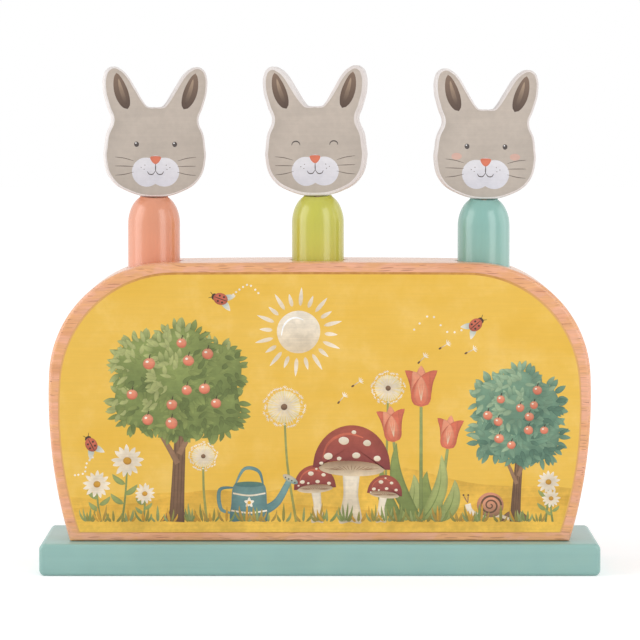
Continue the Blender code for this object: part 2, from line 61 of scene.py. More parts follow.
# Sizes that the frame's boxes don't give
SEAT_GAP = 0.0003
BLOCK_WIDEST_HEIGHT = 0.0607
BLOCK_SIDE_RADIUS = 0.213
BLOCK_CORNER_RADIUS = 0.0495
BLOCK_CROWN_RADIUS = 4.7
BLOCK_EDGE_RADIUS = 0.0019
BLOCK_FOOT_CHAMFER = 0.0005
PANEL_WIDEST_DROP = 0.0047
PANEL_SIDE_RADIUS = 0.168
PANEL_CORNER_RADIUS = 0.0486
PANEL_CROWN_RADIUS = 12.0
BASE_CORNER_RADIUS = 0.0025
BASE_RIM_RADIUS = 0.0018
PEG_RADIUS = 0.0112
PEG_CLEARANCE = 0.0007
PEG_FOOT_CHAMFER = 0.001
PEG_SHOULDER_HEIGHT = 0.0116
PEG_SHOULDER_REACH = 0.008
PEG_FLAT_RADIUS = 0.0062
SADDLE_RISE = 0.0006
SADDLE_LEAN = 0.0003
SADDLE_GAPS = (0.0001, 0.00045)
HOLE_EASE = 0.0008
CHAMBER_RADIUS = 0.0150
RECESS_RADIUS = 0.0111
SCREW_COUNT = 4
SCREW_BORE_RADIUS = 0.0023
SCREW_HEAD_BORE_RADIUS = 0.0043
SCREW_SINK_DEPTH = 0.0012
SCREW_SINK_TOP = 0.0028
DOWEL_BORE_RADIUS = 0.0023
SEAT_SCREW_BORE_RADIUS = 0.00205
HEAD_HALF_WIDTH = 0.0219
HEAD_HEIGHT = 0.0556
HEAD_THICKNESS = 0.008
HEAD_EDGE_RADIUS = 0.0006
HEAD_TURNS = {"left": 8.7, "middle": -8.5, "right": 5.4}
HEAD_SHIFTS = {"left": 0.0002, "middle": -0.0004, "right": 0.0}
HEAD_LEANS = {"left": 0.4, "middle": -0.9, "right": 1.0}
SPRING_WIRE_RADIUS = 0.0006
SPRING_CURLS = 7.5
SPRING_CLOSED_CURLS = 1
SPRING_CLOSED_PITCH = 0.0017
SPRING_RADIUS = 0.0097
GROUND_THICKNESS = 0.02 * MM
SHOWN_PANEL_GAP = 0.03 * MM
PRINTED_INSET = 0.36 * MM
PRINTED_DROP = 0.32 * MM
COAT = 0.0025 * MM
CUT_OVERRUN = 0.003
TINY = 0.000001

# Half of the head's outline from the chin to the notch between the ears:
# shares of the half width and of the height
HEAD_OUTLINE_SHARES = (
    (0.0, 0.0), (0.48, 0.033), (0.855, 0.135), (0.99, 0.30), (0.975, 0.39), (0.945, 0.475),
    (0.843, 0.59), (0.925, 0.69), (1.01, 0.83), (0.987, 0.945), (0.93, 0.981), (0.81, 1.0),
    (0.68, 0.979), (0.58, 0.945), (0.374, 0.82), (0.21, 0.715), (0.165, 0.697), (0.09, 0.69),
    (0.0, 0.69),
)

# Fineness
SIDE_ARC_STEPS = 26
CORNER_ARC_STEPS = 36
CROWN_ARC_STEPS = 20
BASE_CORNER_STEPS = 10
EDGE_STEPS = 4
ROUND_STEPS = 96
SHOULDER_STEPS = 16
HEAD_CURVE_STEPS = 10
CURL_STEPS = 28
WIRE_STEPS = 3
SMOOTH_ANGLE = 32.0

# Readings from the frame
block_low, block_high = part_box("body_block")
panel_low, panel_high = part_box("front_panel")
board_low, board_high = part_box("base_board")
FRONT = block_low.y
PEG_BOXES = {side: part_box(f"{side}_peg") for side in SIDES}
PEG_PLACES = {side: round((low.x + high.x) / 2, 6) for side, (low, high) in PEG_BOXES.items()}
CHIN_HEIGHTS = {side: high.z + SEAT_GAP for side, (low, high) in PEG_BOXES.items()}
BASE_SCREWS = [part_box(f"base_screw_{number}") for number in range(1, SCREW_COUNT + 1)]
GUIDE_RADIUS = PEG_RADIUS + PEG_CLEARANCE
BLOCK_WIDEST = block_low.z + BLOCK_WIDEST_HEIGHT
PANEL_WIDEST = BLOCK_WIDEST - PANEL_WIDEST_DROP


# Objects and meshes

def add_object(name, data):
    thing = bpy.data.objects.new(name, data)
    bpy.context.scene.collection.objects.link(thing)
    return thing


def worked_out(thing):
    """The mesh that an object's curve or modifiers come to."""
    bpy.context.view_layer.update()
    return bpy.data.meshes.new_from_object(thing.evaluated_get(bpy.context.evaluated_depsgraph_get()))


def smooth(mesh):
    mesh.shade_smooth()
    mesh.set_sharp_from_angle(angle=radians(SMOOTH_ANGLE))


def dress(mesh, material):
    mesh.materials.clear()
    mesh.materials.append(MATERIALS[material])
    smooth(mesh)


def new_piece(name, mesh, material, place=(0, 0, 0), turn=0):
    piece = add_object(name, mesh)
    piece.location = place
    piece.rotation_euler.z = radians(turn)
    dress(mesh, material)
    return piece


def finish(piece, body, slot, *nodes):
    """Settle a piece on its body and hide the parts that it stands for; the slot is not used."""
    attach(piece, body)
    if nodes:
        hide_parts(*nodes)


def mesh_from(work, name):
    bmesh.ops.recalc_face_normals(work, faces=work.faces)
    mesh = bpy.data.meshes.new(name)
    work.to_mesh(mesh)
    work.free()
    return mesh


def arc(centre, radius, start, end, steps):
    angles = (start + (end - start) * step / steps for step in range(steps + 1))
    return [(centre[0] + radius * cos(angle), centre[1] + radius * sin(angle)) for angle in angles]


def loaf_outline(half_width, foot, widest, top, radii):
    """A loaf's outline in the XZ plane, anticlockwise from the right end of its foot."""
    side_radius, corner_radius, crown_radius = radii
    side = Vector((half_width - side_radius, widest))
    crown = Vector((0, top - crown_radius))
    meetings = geometry.intersect_sphere_sphere_2d(
        side, side_radius - corner_radius, crown, crown_radius - corner_radius)
    corner = max(meetings, key=lambda place: place.x)
    foot_angle = asin((foot - widest) / side_radius)
    side_end = atan2(corner.y - side.y, corner.x - side.x)
    corner_end = atan2(corner.y - crown.y, corner.x - crown.x)
    half = arc(side, side_radius, foot_angle, side_end, SIDE_ARC_STEPS)
    half += arc(corner, corner_radius, side_end, corner_end, CORNER_ARC_STEPS)[1:]
    half += arc(crown, crown_radius, corner_end, pi / 2, CROWN_ARC_STEPS)[1:]
    return half + [(-x, z) for x, z in reversed(half[:-1])]


def panel_outline(growth, drop=0):
    """The panel's outline, let out or drawn in by some growth, and with its crown lowered by some drop."""
    radii = (PANEL_SIDE_RADIUS + growth, PANEL_CORNER_RADIUS + growth, PANEL_CROWN_RADIUS + growth)
    top = panel_high.z + growth - drop
    return loaf_outline(panel_high.x + growth, panel_low.z - growth, PANEL_WIDEST, top, radii)


def board_outline():
    """The base board's outline from the front, with a round corner at each end of its edges."""
    across = board_high.x - BASE_CORNER_RADIUS
    low = board_low.z + BASE_CORNER_RADIUS
    high = board_high.z - BASE_CORNER_RADIUS
    outline = []
    for number, (x, z) in enumerate(((across, low), (across, high), (-across, high), (-across, low))):
        start = (number - 1) * pi / 2
        outline += arc((x, z), BASE_CORNER_RADIUS, start, start + pi / 2, BASE_CORNER_STEPS)
    return outline


def leaned(x, z, lean):
    """A point in the XZ plane turned clockwise by some degrees, seen from the front."""
    angle = radians(lean)
    return x * cos(angle) + z * sin(angle), z * cos(angle) - x * sin(angle)


def slab_mesh(name, outline, front, back, edge_radius=0, foot=-1):
    """An upright board with rounded rims, except along its foot."""
    work = bmesh.new()
    face = work.faces.new([work.verts.new((x, front, z)) for x, z in outline])
    grown = bmesh.ops.extrude_face_region(work, geom=[face])
    moved = [item for item in grown["geom"] if isinstance(item, bmesh.types.BMVert)]
    bmesh.ops.translate(work, verts=moved, vec=(0, back - front, 0))
    bmesh.ops.recalc_face_normals(work, faces=work.faces)
    if edge_radius:
        rims = []
        for edge in work.edges:
            first, second = (corner.co for corner in edge.verts)
            if abs(first.y - second.y) < TINY and max(first.z, second.z) >= foot + TINY:
                rims.append(edge)
        bmesh.ops.bevel(work, geom=rims, offset=edge_radius, segments=EDGE_STEPS, profile=0.5, affect="EDGES")
    return mesh_from(work, name)


def turned_mesh(name, profile):
    """A turned solid from a profile of radii and heights; a radius of zero closes it."""
    work = bmesh.new()
    rings = []
    for radius, height in profile:
        angles = [2 * pi * step / ROUND_STEPS for step in range(ROUND_STEPS if radius else 1)]
        rings.append([work.verts.new((radius * cos(angle), radius * sin(angle), height)) for angle in angles])
    for upper, lower in zip(rings, rings[1:]):
        for step in range(ROUND_STEPS):
            ahead = (step + 1) % ROUND_STEPS
            corners = [upper[step % len(upper)], upper[ahead % len(upper)],
                       lower[ahead % len(lower)], lower[step % len(lower)]]
            work.faces.new(list(dict.fromkeys(corners)))
    return mesh_from(work, name)


def subtract(target, mesh, place=(0, 0, 0), tilt=0, turn=0):
    """Cut a shape out of a piece for good."""
    cutter = add_object("cutter", mesh)
    cutter.location = place
    cutter.rotation_euler = (0, tilt, turn)
    boolean = target.modifiers.new("cut", "BOOLEAN")
    boolean.operation = "DIFFERENCE"
    boolean.object = cutter
    cut_mesh = worked_out(target)
    target.modifiers.remove(boolean)
    bpy.data.objects.remove(cutter)
    target.data = cut_mesh
    smooth(cut_mesh)


def drill(target, levels, x, z=0, tilt=0):
    """Cut an upright stepped hole from levels of radius and height, top to bottom."""
    profile = [(0, levels[0][1]), *levels, (0, levels[-1][1])]
    subtract(target, turned_mesh("hole", profile), (x, 0, z), tilt)


# Shaders

def linear(colour):
    """A screen colour as the linear values that shaders use."""
    shares = [channel / 255 for channel in colour]
    return tuple(s / 12.92 if s <= 0.04045 else ((s + 0.055) / 1.055) ** 2.4 for s in shares)


def filled(colour):
    """A colour with its alpha, where it is given as values."""
    return (*colour, 1.0) if isinstance(colour, tuple) else colour


class Nodes:
    """The nodes of a material or world, with a short call for each kind in use."""

    def __init__(self, owner):
        owner.use_nodes = True
        self.owner = owner
        self.tree = owner.node_tree

    def fill(self, node, inputs):
        for key, value in inputs.items():
            if isinstance(value, bpy.types.NodeSocket):
                self.tree.links.new(value, node.inputs[key])
            else:
                node.inputs[key].default_value = value

    def add(self, kind, inputs=None, **settings):
        node = self.tree.nodes.new(f"ShaderNode{kind}")
        for key, value in settings.items():
            setattr(node, key, value)
        self.fill(node, inputs or {})
        return node.outputs

    def place(self):
        """The point on the object, in metres, which moves with the object."""
        return self.add("TexCoord")["Object"]

    def stretched(self, place, waves):
        """The point with each axis scaled, so that a pattern gets its size and its grain."""
        return self.add("Mapping", {"Vector": place, "Scale": waves})[0]

    def cloud(self, place, waves, detail, roughness=0.5):
        """Noise with some waves a metre, the same number or its own along each axis."""
        place = self.stretched(place, waves if isinstance(waves, tuple) else (waves, waves, waves))
        inputs = {"Vector": place, "Scale": 1, "Detail": detail, "Roughness": roughness}
        return self.add("TexNoise", inputs)[0]

    def ramp(self, value, span, reach=(0, 1), smooth=True):
        """A value's place in a span, as a value in another."""
        inputs = dict(enumerate((value, *span, *reach)))
        return self.add("MapRange", inputs, interpolation_type="SMOOTHSTEP" if smooth else "LINEAR")[0]

    def maths(self, operation, *values):
        return self.add("Math", dict(enumerate(values)), operation=operation)[0]

    def mixed(self, factor, first, second):
        return self.add("Mix", {0: factor, 6: filled(first), 7: filled(second)}, data_type="RGBA")[2]

    def lit(self, colour, shade, *more):
        """A colour times some brightnesses."""
        for other in more:
            shade = self.maths("MULTIPLY", shade, other)
        return self.add("VectorMath", {0: colour, 3: shade}, operation="SCALE")[0]

    def wandering(self, place, waves, reach):
        """The point moved up and down a little, so that the lines drawn along the grain wander."""
        lift = self.maths("MULTIPLY_ADD", self.cloud(place, waves, 1), reach, -reach / 2)
        offset = self.add("CombineXYZ", {2: lift})[0]
        return self.add("VectorMath", {0: place, 1: offset}, operation="ADD")[0]

    def seen(self):
        """One for a ray from the camera, a reflection or a clear thing, and zero for the rest."""
        rays = self.add("LightPath")
        direct = self.maths("MAXIMUM", rays["Is Camera Ray"], rays["Is Glossy Ray"])
        return self.maths("MAXIMUM", direct, rays["Is Transmission Ray"])

    def finished(self, colour, roughness, relief, depth, others=None, strength=0.5):
        """The material, with its colour, roughness, relief and other values joined up."""
        normal = self.add("Bump", {"Height": relief, "Distance": depth, "Strength": strength})[0]
        inputs = {"Base Color": colour, "Roughness": roughness, "Normal": normal, **(others or {})}
        self.fill(self.tree.nodes["Principled BSDF"], inputs)
        return self.owner


def surface(name):
    """A new material's nodes, and the place on the object."""
    nodes = Nodes(bpy.data.materials.new(name))
    return nodes, nodes.place()


# Looks: patterns have their waves a metre, their octaves and their roughness,
# and shades are brightnesses at the low and the high end of a pattern
MIDDLE = (0.3, 0.7)
RELIEF_MILLIMETRES = {"beech": 0.06, "paint": 0.05, "ply": 0.04, "char": 0.05, "steel": 0.02, "print": 0.04}
RELIEFS = {name: depth * MM for name, depth in RELIEF_MILLIMETRES.items()}
BEECH_PATTERNS = (((110, 260), 2), ((26, 190), 3, 0.55), ((60, 1650), 2, 0.6), ((220, 5200), 3, 0.6))
BEECH_WAVER = (42, 0.005)
BEECH_CELLS = (105, 1350)
BEECH_PATCH_SPAN = (0.4, 0.6)
BEECH_DRIFT_SPAN = (0.48, 0.7)
BEECH_DRIFT_SHARE = 0.7
STREAK_SHADES = (0.89, 1.08)
FIBRE_SHADES = (0.95, 1.04)
DASH_REACH = 0.42
DASH_EDGE = (0.7, 1)
DASH_RELIEF = -0.8
BEECH_ROUGHNESS = (0.37, 0.5)
BEECH_FINISH = {"Specular IOR Level": 0.4, "Coat Weight": 0.7, "Coat Roughness": 0.2}
PAINT_GRAIN = {"x": (12, 420, 420), "z": (420, 420, 14)}
PAINT_PATCHES = (45, 2)
PAINT_DIPS = (700, 2)
PAINT_BLUSH = (90, 3)
PAINT_BLUSH_SPAN = (0.4, 0.7)
PAINT_BLUSH_SHARE = 0.35
PAINT_BLUSH_SHARES = (1.05, 0.99, 0.94)
PAINT_PATCH_SHADES = (0.965, 1.03)
PAINT_GRAIN_SHADES = (0.975, 1.02)
PAINT_DIP_RELIEF = 0.35
PAINT_ROUGHNESS = (-0.03, 0.05)
PAINT_FINISH = {"Coat Roughness": 0.17, "Coat IOR": 1.65}
PLIES = ((25, 900, 25), 1)
PLY_FIBRES = ((1500, 900, 90), 4, 0.6)
PLY_SPAN = (0.5, 0.62)
PLY_SHARE = 0.75
PLY_SHADES = (0.93, 1.04)
PLY_ROUGHNESS = 0.55
SOOT = ((300, 2400, 300), 3)
SOOT_SPAN = (0.35, 0.65)
# Distance from the panel's middle, in metres, over which the singed edge's painted shade gives way to its
# paler sides
CHAR_SHADE_FADE = (0.062, 0.104)
CHAR_ROUGHNESS = 0.7
HAZE = (500, 3)
BRUSH_LINES = ((300, 300, 6000), 2)
STEEL_ROUGHNESS = (0.24, 0.42)
PRINT_WASH = (70, 4, 0.6)
PRINT_BLOTS = (420, 3, 0.6)
PRINT_GRAIN = ((16, 900, 900), 4, 0.62)
PRINT_THREADS = ((60, 3200, 3200), 2)
PRINT_LIGHT_SPAN = (0.45, 0.75)
PRINT_DEEP = ((22, 44, 44), 2)
PRINT_DEEP_SPAN = (0.42, 0.75)
PRINT_DEEP_SHARE = 0.8
PRINT_RIM_SPAN = (0.55, 1)
PRINT_GRAIN_SPAN = (0.32, 0.68)
PRINT_ROUGHNESS = (-0.05, 0.07)
PRINT_THREAD_RELIEF = 0.5
PRINT_FINISH = {"Specular IOR Level": 0.35}

# Colours of the object
BEECH = ((235, 171, 118), (238, 174, 138), (224, 154, 106))
TURNED_BEECH = ((226, 184, 146), (236, 200, 164), (208, 160, 122))
BEECH_FLECK = (164, 98, 66)
PALE_PLY = (233, 226, 223)
PALE_PLY_DARK = (222, 212, 207)
# The singed edge: dark and pale brown at random, and a paler colour down the panel's sides, where it carries
# less painted shade than along the top and foot
CHAR = (194, 134, 62)
CHAR_PALE = (208, 150, 74)
CHAR_LESS_SHADED_SIDE = (226, 172, 104)
YELLOW = (238, 193, 84)
YELLOW_PALE = (242, 201, 106)
YELLOW_DEEP = (234, 186, 68)
BOARD_TEAL = (143, 184, 178)
PEG_COLOURS = {"left": (224, 147, 112), "middle": (195, 193, 64), "right": (134, 183, 173)}
STEEL = (196, 197, 200)
STEEL_GREY = (168, 170, 176)


def beech(name, colours, fleck_share=0.7, axis="x"):
    """Beech with its grain along one axis: pink and tan patches, fine wavy lines and dark dashes."""
    nodes, place = surface(name)
    place = nodes.wandering(place, *BEECH_WAVER)
    base, light, dark = (linear(colour) for colour in colours)

    def grained(along, across):
        return (along, across, across) if axis == "x" else (across, across, along)

    patches, drift, streaks, fibres = (
        nodes.cloud(place, grained(*waves), *rest) for waves, *rest in BEECH_PATTERNS)
    colour = nodes.mixed(nodes.ramp(patches, BEECH_PATCH_SPAN), base, light)
    colour = nodes.mixed(nodes.ramp(drift, BEECH_DRIFT_SPAN, (0, BEECH_DRIFT_SHARE)), colour, dark)
    colour = nodes.lit(colour, nodes.ramp(streaks, MIDDLE, STREAK_SHADES, smooth=False),
                       nodes.ramp(fibres, MIDDLE, FIBRE_SHADES, smooth=False))
    cells = nodes.add("TexVoronoi", {"Vector": nodes.stretched(place, grained(*BEECH_CELLS)), "Scale": 1})
    own = nodes.add("SeparateColor", {"Color": cells["Color"]})
    reach = nodes.maths("DIVIDE", cells["Distance"], nodes.maths("MULTIPLY", own[0], DASH_REACH))
    depth = nodes.ramp(own[1], (0, 1), (fleck_share / 4, fleck_share), smooth=False)
    flecks = nodes.maths("MULTIPLY", nodes.ramp(reach, DASH_EDGE, (1, 0)), depth)
    colour = nodes.mixed(flecks, colour, linear(BEECH_FLECK))
    gloss = nodes.ramp(fibres, MIDDLE, BEECH_ROUGHNESS, smooth=False)
    relief = nodes.maths("MULTIPLY_ADD", flecks, DASH_RELIEF, fibres)
    return nodes.finished(colour, gloss, relief, RELIEFS["beech"], BEECH_FINISH)


def painted(name, colour, roughness, coat, grain_axis="z"):
    """Smooth paint on wood, with a trace of the grain, of the brush and of small dips."""
    nodes, place = surface(name)
    grain = nodes.cloud(place, PAINT_GRAIN[grain_axis], 3, 0.6)
    patches = nodes.cloud(place, *PAINT_PATCHES)
    base = linear(colour)
    blush = tuple(channel * share for channel, share in zip(base, PAINT_BLUSH_SHARES))
    share = nodes.ramp(nodes.cloud(place, *PAINT_BLUSH), PAINT_BLUSH_SPAN, (0, PAINT_BLUSH_SHARE))
    colour = nodes.lit(nodes.mixed(share, base, blush), nodes.ramp(patches, MIDDLE, PAINT_PATCH_SHADES),
                       nodes.ramp(grain, MIDDLE, PAINT_GRAIN_SHADES, smooth=False))
    gloss = nodes.ramp(patches, MIDDLE, [roughness + change for change in PAINT_ROUGHNESS], smooth=False)
    relief = nodes.maths("MULTIPLY_ADD", nodes.cloud(place, *PAINT_DIPS), PAINT_DIP_RELIEF, grain)
    return nodes.finished(colour, gloss, relief, RELIEFS["paint"], {"Coat Weight": coat, **PAINT_FINISH})


def pale_ply(name):
    """Pale sanded plywood seen on the heads' rims and backs, with thin darker plies."""
    nodes, place = surface(name)
    fibres = nodes.cloud(place, *PLY_FIBRES)
    darker = nodes.ramp(nodes.cloud(place, *PLIES), PLY_SPAN, (0, PLY_SHARE))
    colour = nodes.mixed(darker, linear(PALE_PLY), linear(PALE_PLY_DARK))
    colour = nodes.lit(colour, nodes.ramp(fibres, MIDDLE, PLY_SHADES, smooth=False))
    return nodes.finished(colour, PLY_ROUGHNESS, fibres, RELIEFS["ply"])


def charred_ply(name):
    """Thin plywood whose cut edge is singed brown, with painted shade that darkens the edge along the top and
    foot more than down its sides.
    """
    nodes, place = surface(name)
    soot = nodes.cloud(place, *SOOT)
    colour = nodes.mixed(nodes.ramp(soot, SOOT_SPAN), linear(CHAR), linear(CHAR_PALE))
    # Painted shade: the singed edge stays dark near the middle, along the top and foot, and turns paler
    # towards the sides
    across = nodes.maths("ABSOLUTE", nodes.add("SeparateXYZ", {0: place})[0])
    colour = nodes.mixed(nodes.ramp(across, CHAR_SHADE_FADE), colour, linear(CHAR_LESS_SHADED_SIDE))
    return nodes.finished(colour, CHAR_ROUGHNESS, soot, RELIEFS["char"])


def steel(name):
    """Zinc-plated steel wire and screws, finely brushed."""
    nodes, place = surface(name)
    haze = nodes.cloud(place, *HAZE)
    colour = nodes.mixed(haze, linear(STEEL), linear(STEEL_GREY))
    gloss = nodes.ramp(haze, MIDDLE, STEEL_ROUGHNESS)
    lines = nodes.cloud(place, *BRUSH_LINES)
    return nodes.finished(colour, gloss, lines, RELIEFS["steel"], {"Metallic": 1}, strength=0.4)


def printed(name, inks=None, mottle=0.12, rim_share=0.2, grain_share=0.03, roughness=0.5):
    """Print on fine-grained wood: washed colour, pooled at the rims of its shapes, over level grain.

    The colour is the shapes' own tint, or one base colour with a light and a deep wash.
    """
    nodes, place = surface(name)
    wash = nodes.cloud(place, *PRINT_WASH)
    blots = nodes.cloud(place, *PRINT_BLOTS)
    grain = nodes.cloud(place, *PRINT_GRAIN)
    threads = nodes.cloud(place, *PRINT_THREADS)
    if inks:
        base, light, deep = (linear(ink) for ink in inks)
        colour = nodes.mixed(nodes.ramp(wash, PRINT_LIGHT_SPAN), base, light)
        share = nodes.ramp(nodes.cloud(place, *PRINT_DEEP), PRINT_DEEP_SPAN, (0, PRINT_DEEP_SHARE))
        colour = nodes.mixed(share, colour, deep)
    else:
        colour = nodes.add("Attribute", attribute_name="tint")["Color"]
        rim = nodes.add("Attribute", attribute_name="rim")["Fac"]
        colour = nodes.lit(colour, nodes.ramp(rim, PRINT_RIM_SPAN, (1, 1 - rim_share)))
    shades = [nodes.ramp(pattern, span, (1 - share, 1 + share)) for pattern, span, share in (
        (wash, MIDDLE, mottle), (blots, MIDDLE, mottle / 2),
        (grain, PRINT_GRAIN_SPAN, grain_share), (threads, MIDDLE, grain_share))]
    gloss = nodes.ramp(grain, MIDDLE, [roughness + change for change in PRINT_ROUGHNESS])
    relief = nodes.maths("MULTIPLY_ADD", threads, PRINT_THREAD_RELIEF, grain)
    return nodes.finished(nodes.lit(colour, *shades), gloss, relief, RELIEFS["print"], PRINT_FINISH)


MATERIALS = {
    "beech": beech("steamed_beech", BEECH),
    "turned": beech("turned_beech", TURNED_BEECH, fleck_share=0.5, axis="z"),
    "pale_ply": pale_ply("pale_ply"),
    "charred": charred_ply("charred_ply"),
    "board": painted("board_paint", BOARD_TEAL, 0.42, 0.3, "x"),
    "left": painted("peach_paint", PEG_COLOURS["left"], 0.32, 0.55),
    "middle": painted("green_paint", PEG_COLOURS["middle"], 0.32, 0.55),
    "right": painted("teal_paint", PEG_COLOURS["right"], 0.32, 0.55),
    "steel": steel("zinc_steel"),
    "yellow": printed("yellow_print", (YELLOW, YELLOW_PALE, YELLOW_DEEP), mottle=0.012, grain_share=0.012),
    "picture": printed("picture_print"),
    "face": printed("face_print", mottle=0.05, rim_share=0.08, grain_share=0.014, roughness=0.45),
}


# Wooden pieces and springs

def make_base_board():
    mesh = slab_mesh("painted_board", board_outline(), board_low.y, board_high.y, BASE_RIM_RADIUS)
    board = new_piece("painted_board", mesh, "board")
    over = board_high.z + CUT_OVERRUN
    recess_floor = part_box("left_spring")[0].z - SEAT_GAP
    for side in SIDES:
        drill(board, ((RECESS_RADIUS, over), (RECESS_RADIUS, recess_floor)), PEG_PLACES[side])
    hole = (
        (SCREW_BORE_RADIUS, over),
        (SCREW_BORE_RADIUS, SCREW_SINK_TOP),
        (SCREW_HEAD_BORE_RADIUS, SCREW_SINK_DEPTH),
        (SCREW_HEAD_BORE_RADIUS, -CUT_OVERRUN),
    )
    for low, high in BASE_SCREWS:
        drill(board, hole, (low.x + high.x) / 2)
    finish(board, "toy_body", "board_paint", "base_board")


def chamfer_mesh(front, inwards):
    """A prism that takes off the block's lower edge at its front or back."""
    corners = (
        (front - inwards * CUT_OVERRUN, block_low.z + BLOCK_FOOT_CHAMFER + CUT_OVERRUN),
        (front + inwards * (BLOCK_FOOT_CHAMFER + CUT_OVERRUN), block_low.z - CUT_OVERRUN),
        (front - inwards * CUT_OVERRUN, block_low.z - CUT_OVERRUN),
    )
    work = bmesh.new()
    rings = [[work.verts.new((x, y, z)) for y, z in corners] for x in (-block_high.x, block_high.x)]
    for first, second in ((0, 1), (1, 2), (2, 0)):
        work.faces.new((rings[0][first], rings[0][second], rings[1][second], rings[1][first]))
    for ring in rings:
        work.faces.new(ring)
    return mesh_from(work, "chamfer")


def make_body_block():
    foot = block_low.z
    radii = (BLOCK_SIDE_RADIUS, BLOCK_CORNER_RADIUS, BLOCK_CROWN_RADIUS)
    outline = loaf_outline(block_high.x, foot, BLOCK_WIDEST, block_high.z, radii)
    mesh = slab_mesh("beech_block", outline, FRONT, block_high.y, BLOCK_EDGE_RADIUS, foot)
    block = new_piece("beech_block", mesh, "beech")
    pocket_back = panel_high.y + SEAT_GAP
    subtract(block, slab_mesh("pocket", panel_outline(SEAT_GAP), FRONT - CUT_OVERRUN, pocket_back))
    subtract(block, chamfer_mesh(FRONT, 1))
    subtract(block, chamfer_mesh(block_high.y, -1))
    for side in SIDES:
        x = PEG_PLACES[side]
        shoulder = PEG_BOXES[side][0].z
        bore = (
            (GUIDE_RADIUS, block_high.z + CUT_OVERRUN),
            (GUIDE_RADIUS, shoulder),
            (CHAMBER_RADIUS, shoulder),
            (CHAMBER_RADIUS, foot - CUT_OVERRUN),
        )
        drill(block, bore, x)
        mouth = (
            (GUIDE_RADIUS + HOLE_EASE + CUT_OVERRUN, CUT_OVERRUN),
            (GUIDE_RADIUS - CUT_OVERRUN, -HOLE_EASE - CUT_OVERRUN),
        )
        crown = block_high.z - BLOCK_CROWN_RADIUS + sqrt(BLOCK_CROWN_RADIUS ** 2 - x ** 2)
        drill(block, mouth, x, crown, asin(x / BLOCK_CROWN_RADIUS))
    for low, high in BASE_SCREWS:
        pilot = ((SCREW_BORE_RADIUS, high.z + SEAT_GAP), (SCREW_BORE_RADIUS, foot - CUT_OVERRUN))
        drill(block, pilot, (low.x + high.x) / 2)
    finish(block, "toy_body", "beech", "body_block")


def peg_profile(side):
    """Half of a peg's section: a tapered shoulder, a raised top and a blind hole at each end."""
    low, high = PEG_BOXES[side]
    top = high.z + SADDLE_RISE
    socket_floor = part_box(f"{side}_neck_dowel")[0].z - SEAT_GAP
    screw_hole_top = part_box(f"{side}_seat_screw")[1].z + SEAT_GAP
    profile = [
        (0, socket_floor),
        (DOWEL_BORE_RADIUS, socket_floor),
        (DOWEL_BORE_RADIUS, top),
        (PEG_FLAT_RADIUS - SADDLE_LEAN, top),
    ]
    sweep = acos(1 - (PEG_RADIUS - PEG_FLAT_RADIUS) / PEG_SHOULDER_REACH)
    for step in range(SHOULDER_STEPS, -1, -1):
        angle = sweep * step / SHOULDER_STEPS
        radius = PEG_RADIUS - PEG_SHOULDER_REACH * (1 - cos(angle))
        profile.append((radius, high.z - PEG_SHOULDER_HEIGHT * (1 - sin(angle) / sin(sweep))))
    return profile + [
        (PEG_RADIUS, low.z + PEG_FOOT_CHAMFER),
        (PEG_RADIUS - PEG_FOOT_CHAMFER, low.z),
        (SEAT_SCREW_BORE_RADIUS, low.z),
        (SEAT_SCREW_BORE_RADIUS, screw_hole_top),
        (0, screw_hole_top),
    ]


def hung(side, outline):
    """A head's outline, leaned and moved sideways as that head hangs."""
    return [(HEAD_SHIFTS[side] + x, z) for x, z in (leaned(*spot, HEAD_LEANS[side]) for spot in outline)]


def make_peg(side, outline):
    """A peg with a saddle in its top, which the head's chin sits in."""
    name = f"{side}_painted_peg"
    x = PEG_PLACES[side]
    peg = new_piece(name, turned_mesh(name, peg_profile(side)), side, (x, 0, 0))
    near, far = (-PEG_RADIUS, -HEAD_THICKNESS / 4)
    for gap, cuts in zip(SADDLE_GAPS, (((near, -near),), ((near, far), (-far, -near)))):
        for front, back in cuts:
            saddle = hung(side, offset_by(outline, lambda x, z: -gap))
            subtract(peg, slab_mesh("saddle", saddle, front, back), (x, 0, CHIN_HEIGHTS[side]),
                     turn=radians(HEAD_TURNS[side]))
    slots = {"left": "peach_paint", "middle": "green_paint", "right": "teal_paint"}
    finish(peg, f"{side}_rabbit", slots[side], f"{side}_peg")


def wire_mesh(name, low, high):
    """One long helix of round wire, closed at both ends."""
    foot = low.z + SPRING_WIRE_RADIUS
    rise = high.z - SPRING_WIRE_RADIUS - foot
    closed_rise = SPRING_CLOSED_CURLS * SPRING_CLOSED_PITCH
    open_pitch = (rise - 2 * closed_rise) / (SPRING_CURLS - 2 * SPRING_CLOSED_CURLS)
    curve = bpy.data.curves.new(name, "CURVE")
    curve.dimensions = "3D"
    curve.bevel_depth = SPRING_WIRE_RADIUS
    curve.bevel_resolution = WIRE_STEPS
    curve.use_fill_caps = True
    spline = curve.splines.new("POLY")
    spline.points.add(round(SPRING_CURLS * CURL_STEPS))
    for step, point in enumerate(spline.points):
        curls = step / CURL_STEPS
        first = min(curls, SPRING_CLOSED_CURLS)
        last = max(curls - SPRING_CURLS + SPRING_CLOSED_CURLS, 0)
        height = (first + last) * SPRING_CLOSED_PITCH + (curls - first - last) * open_pitch
        angle = 2 * pi * curls
        point.co = (SPRING_RADIUS * cos(angle), SPRING_RADIUS * sin(angle), foot + height, 1)
    coil = add_object(name, curve)
    work = bmesh.new()
    work.from_mesh(worked_out(coil))
    bpy.data.objects.remove(coil)
    bmesh.ops.remove_doubles(work, verts=work.verts, dist=TINY)
    return mesh_from(work, name)


def make_spring(side):
    """The spring under a figure, one helix of steel wire."""
    low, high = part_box(f"{side}_spring")
    name = f"{side}_wire_spring"
    spring = new_piece(name, wire_mesh(name, low, high), "steel", (PEG_PLACES[side], 0, 0))
    finish(spring, "toy_body", "steel", f"{side}_spring")
    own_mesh(spring)


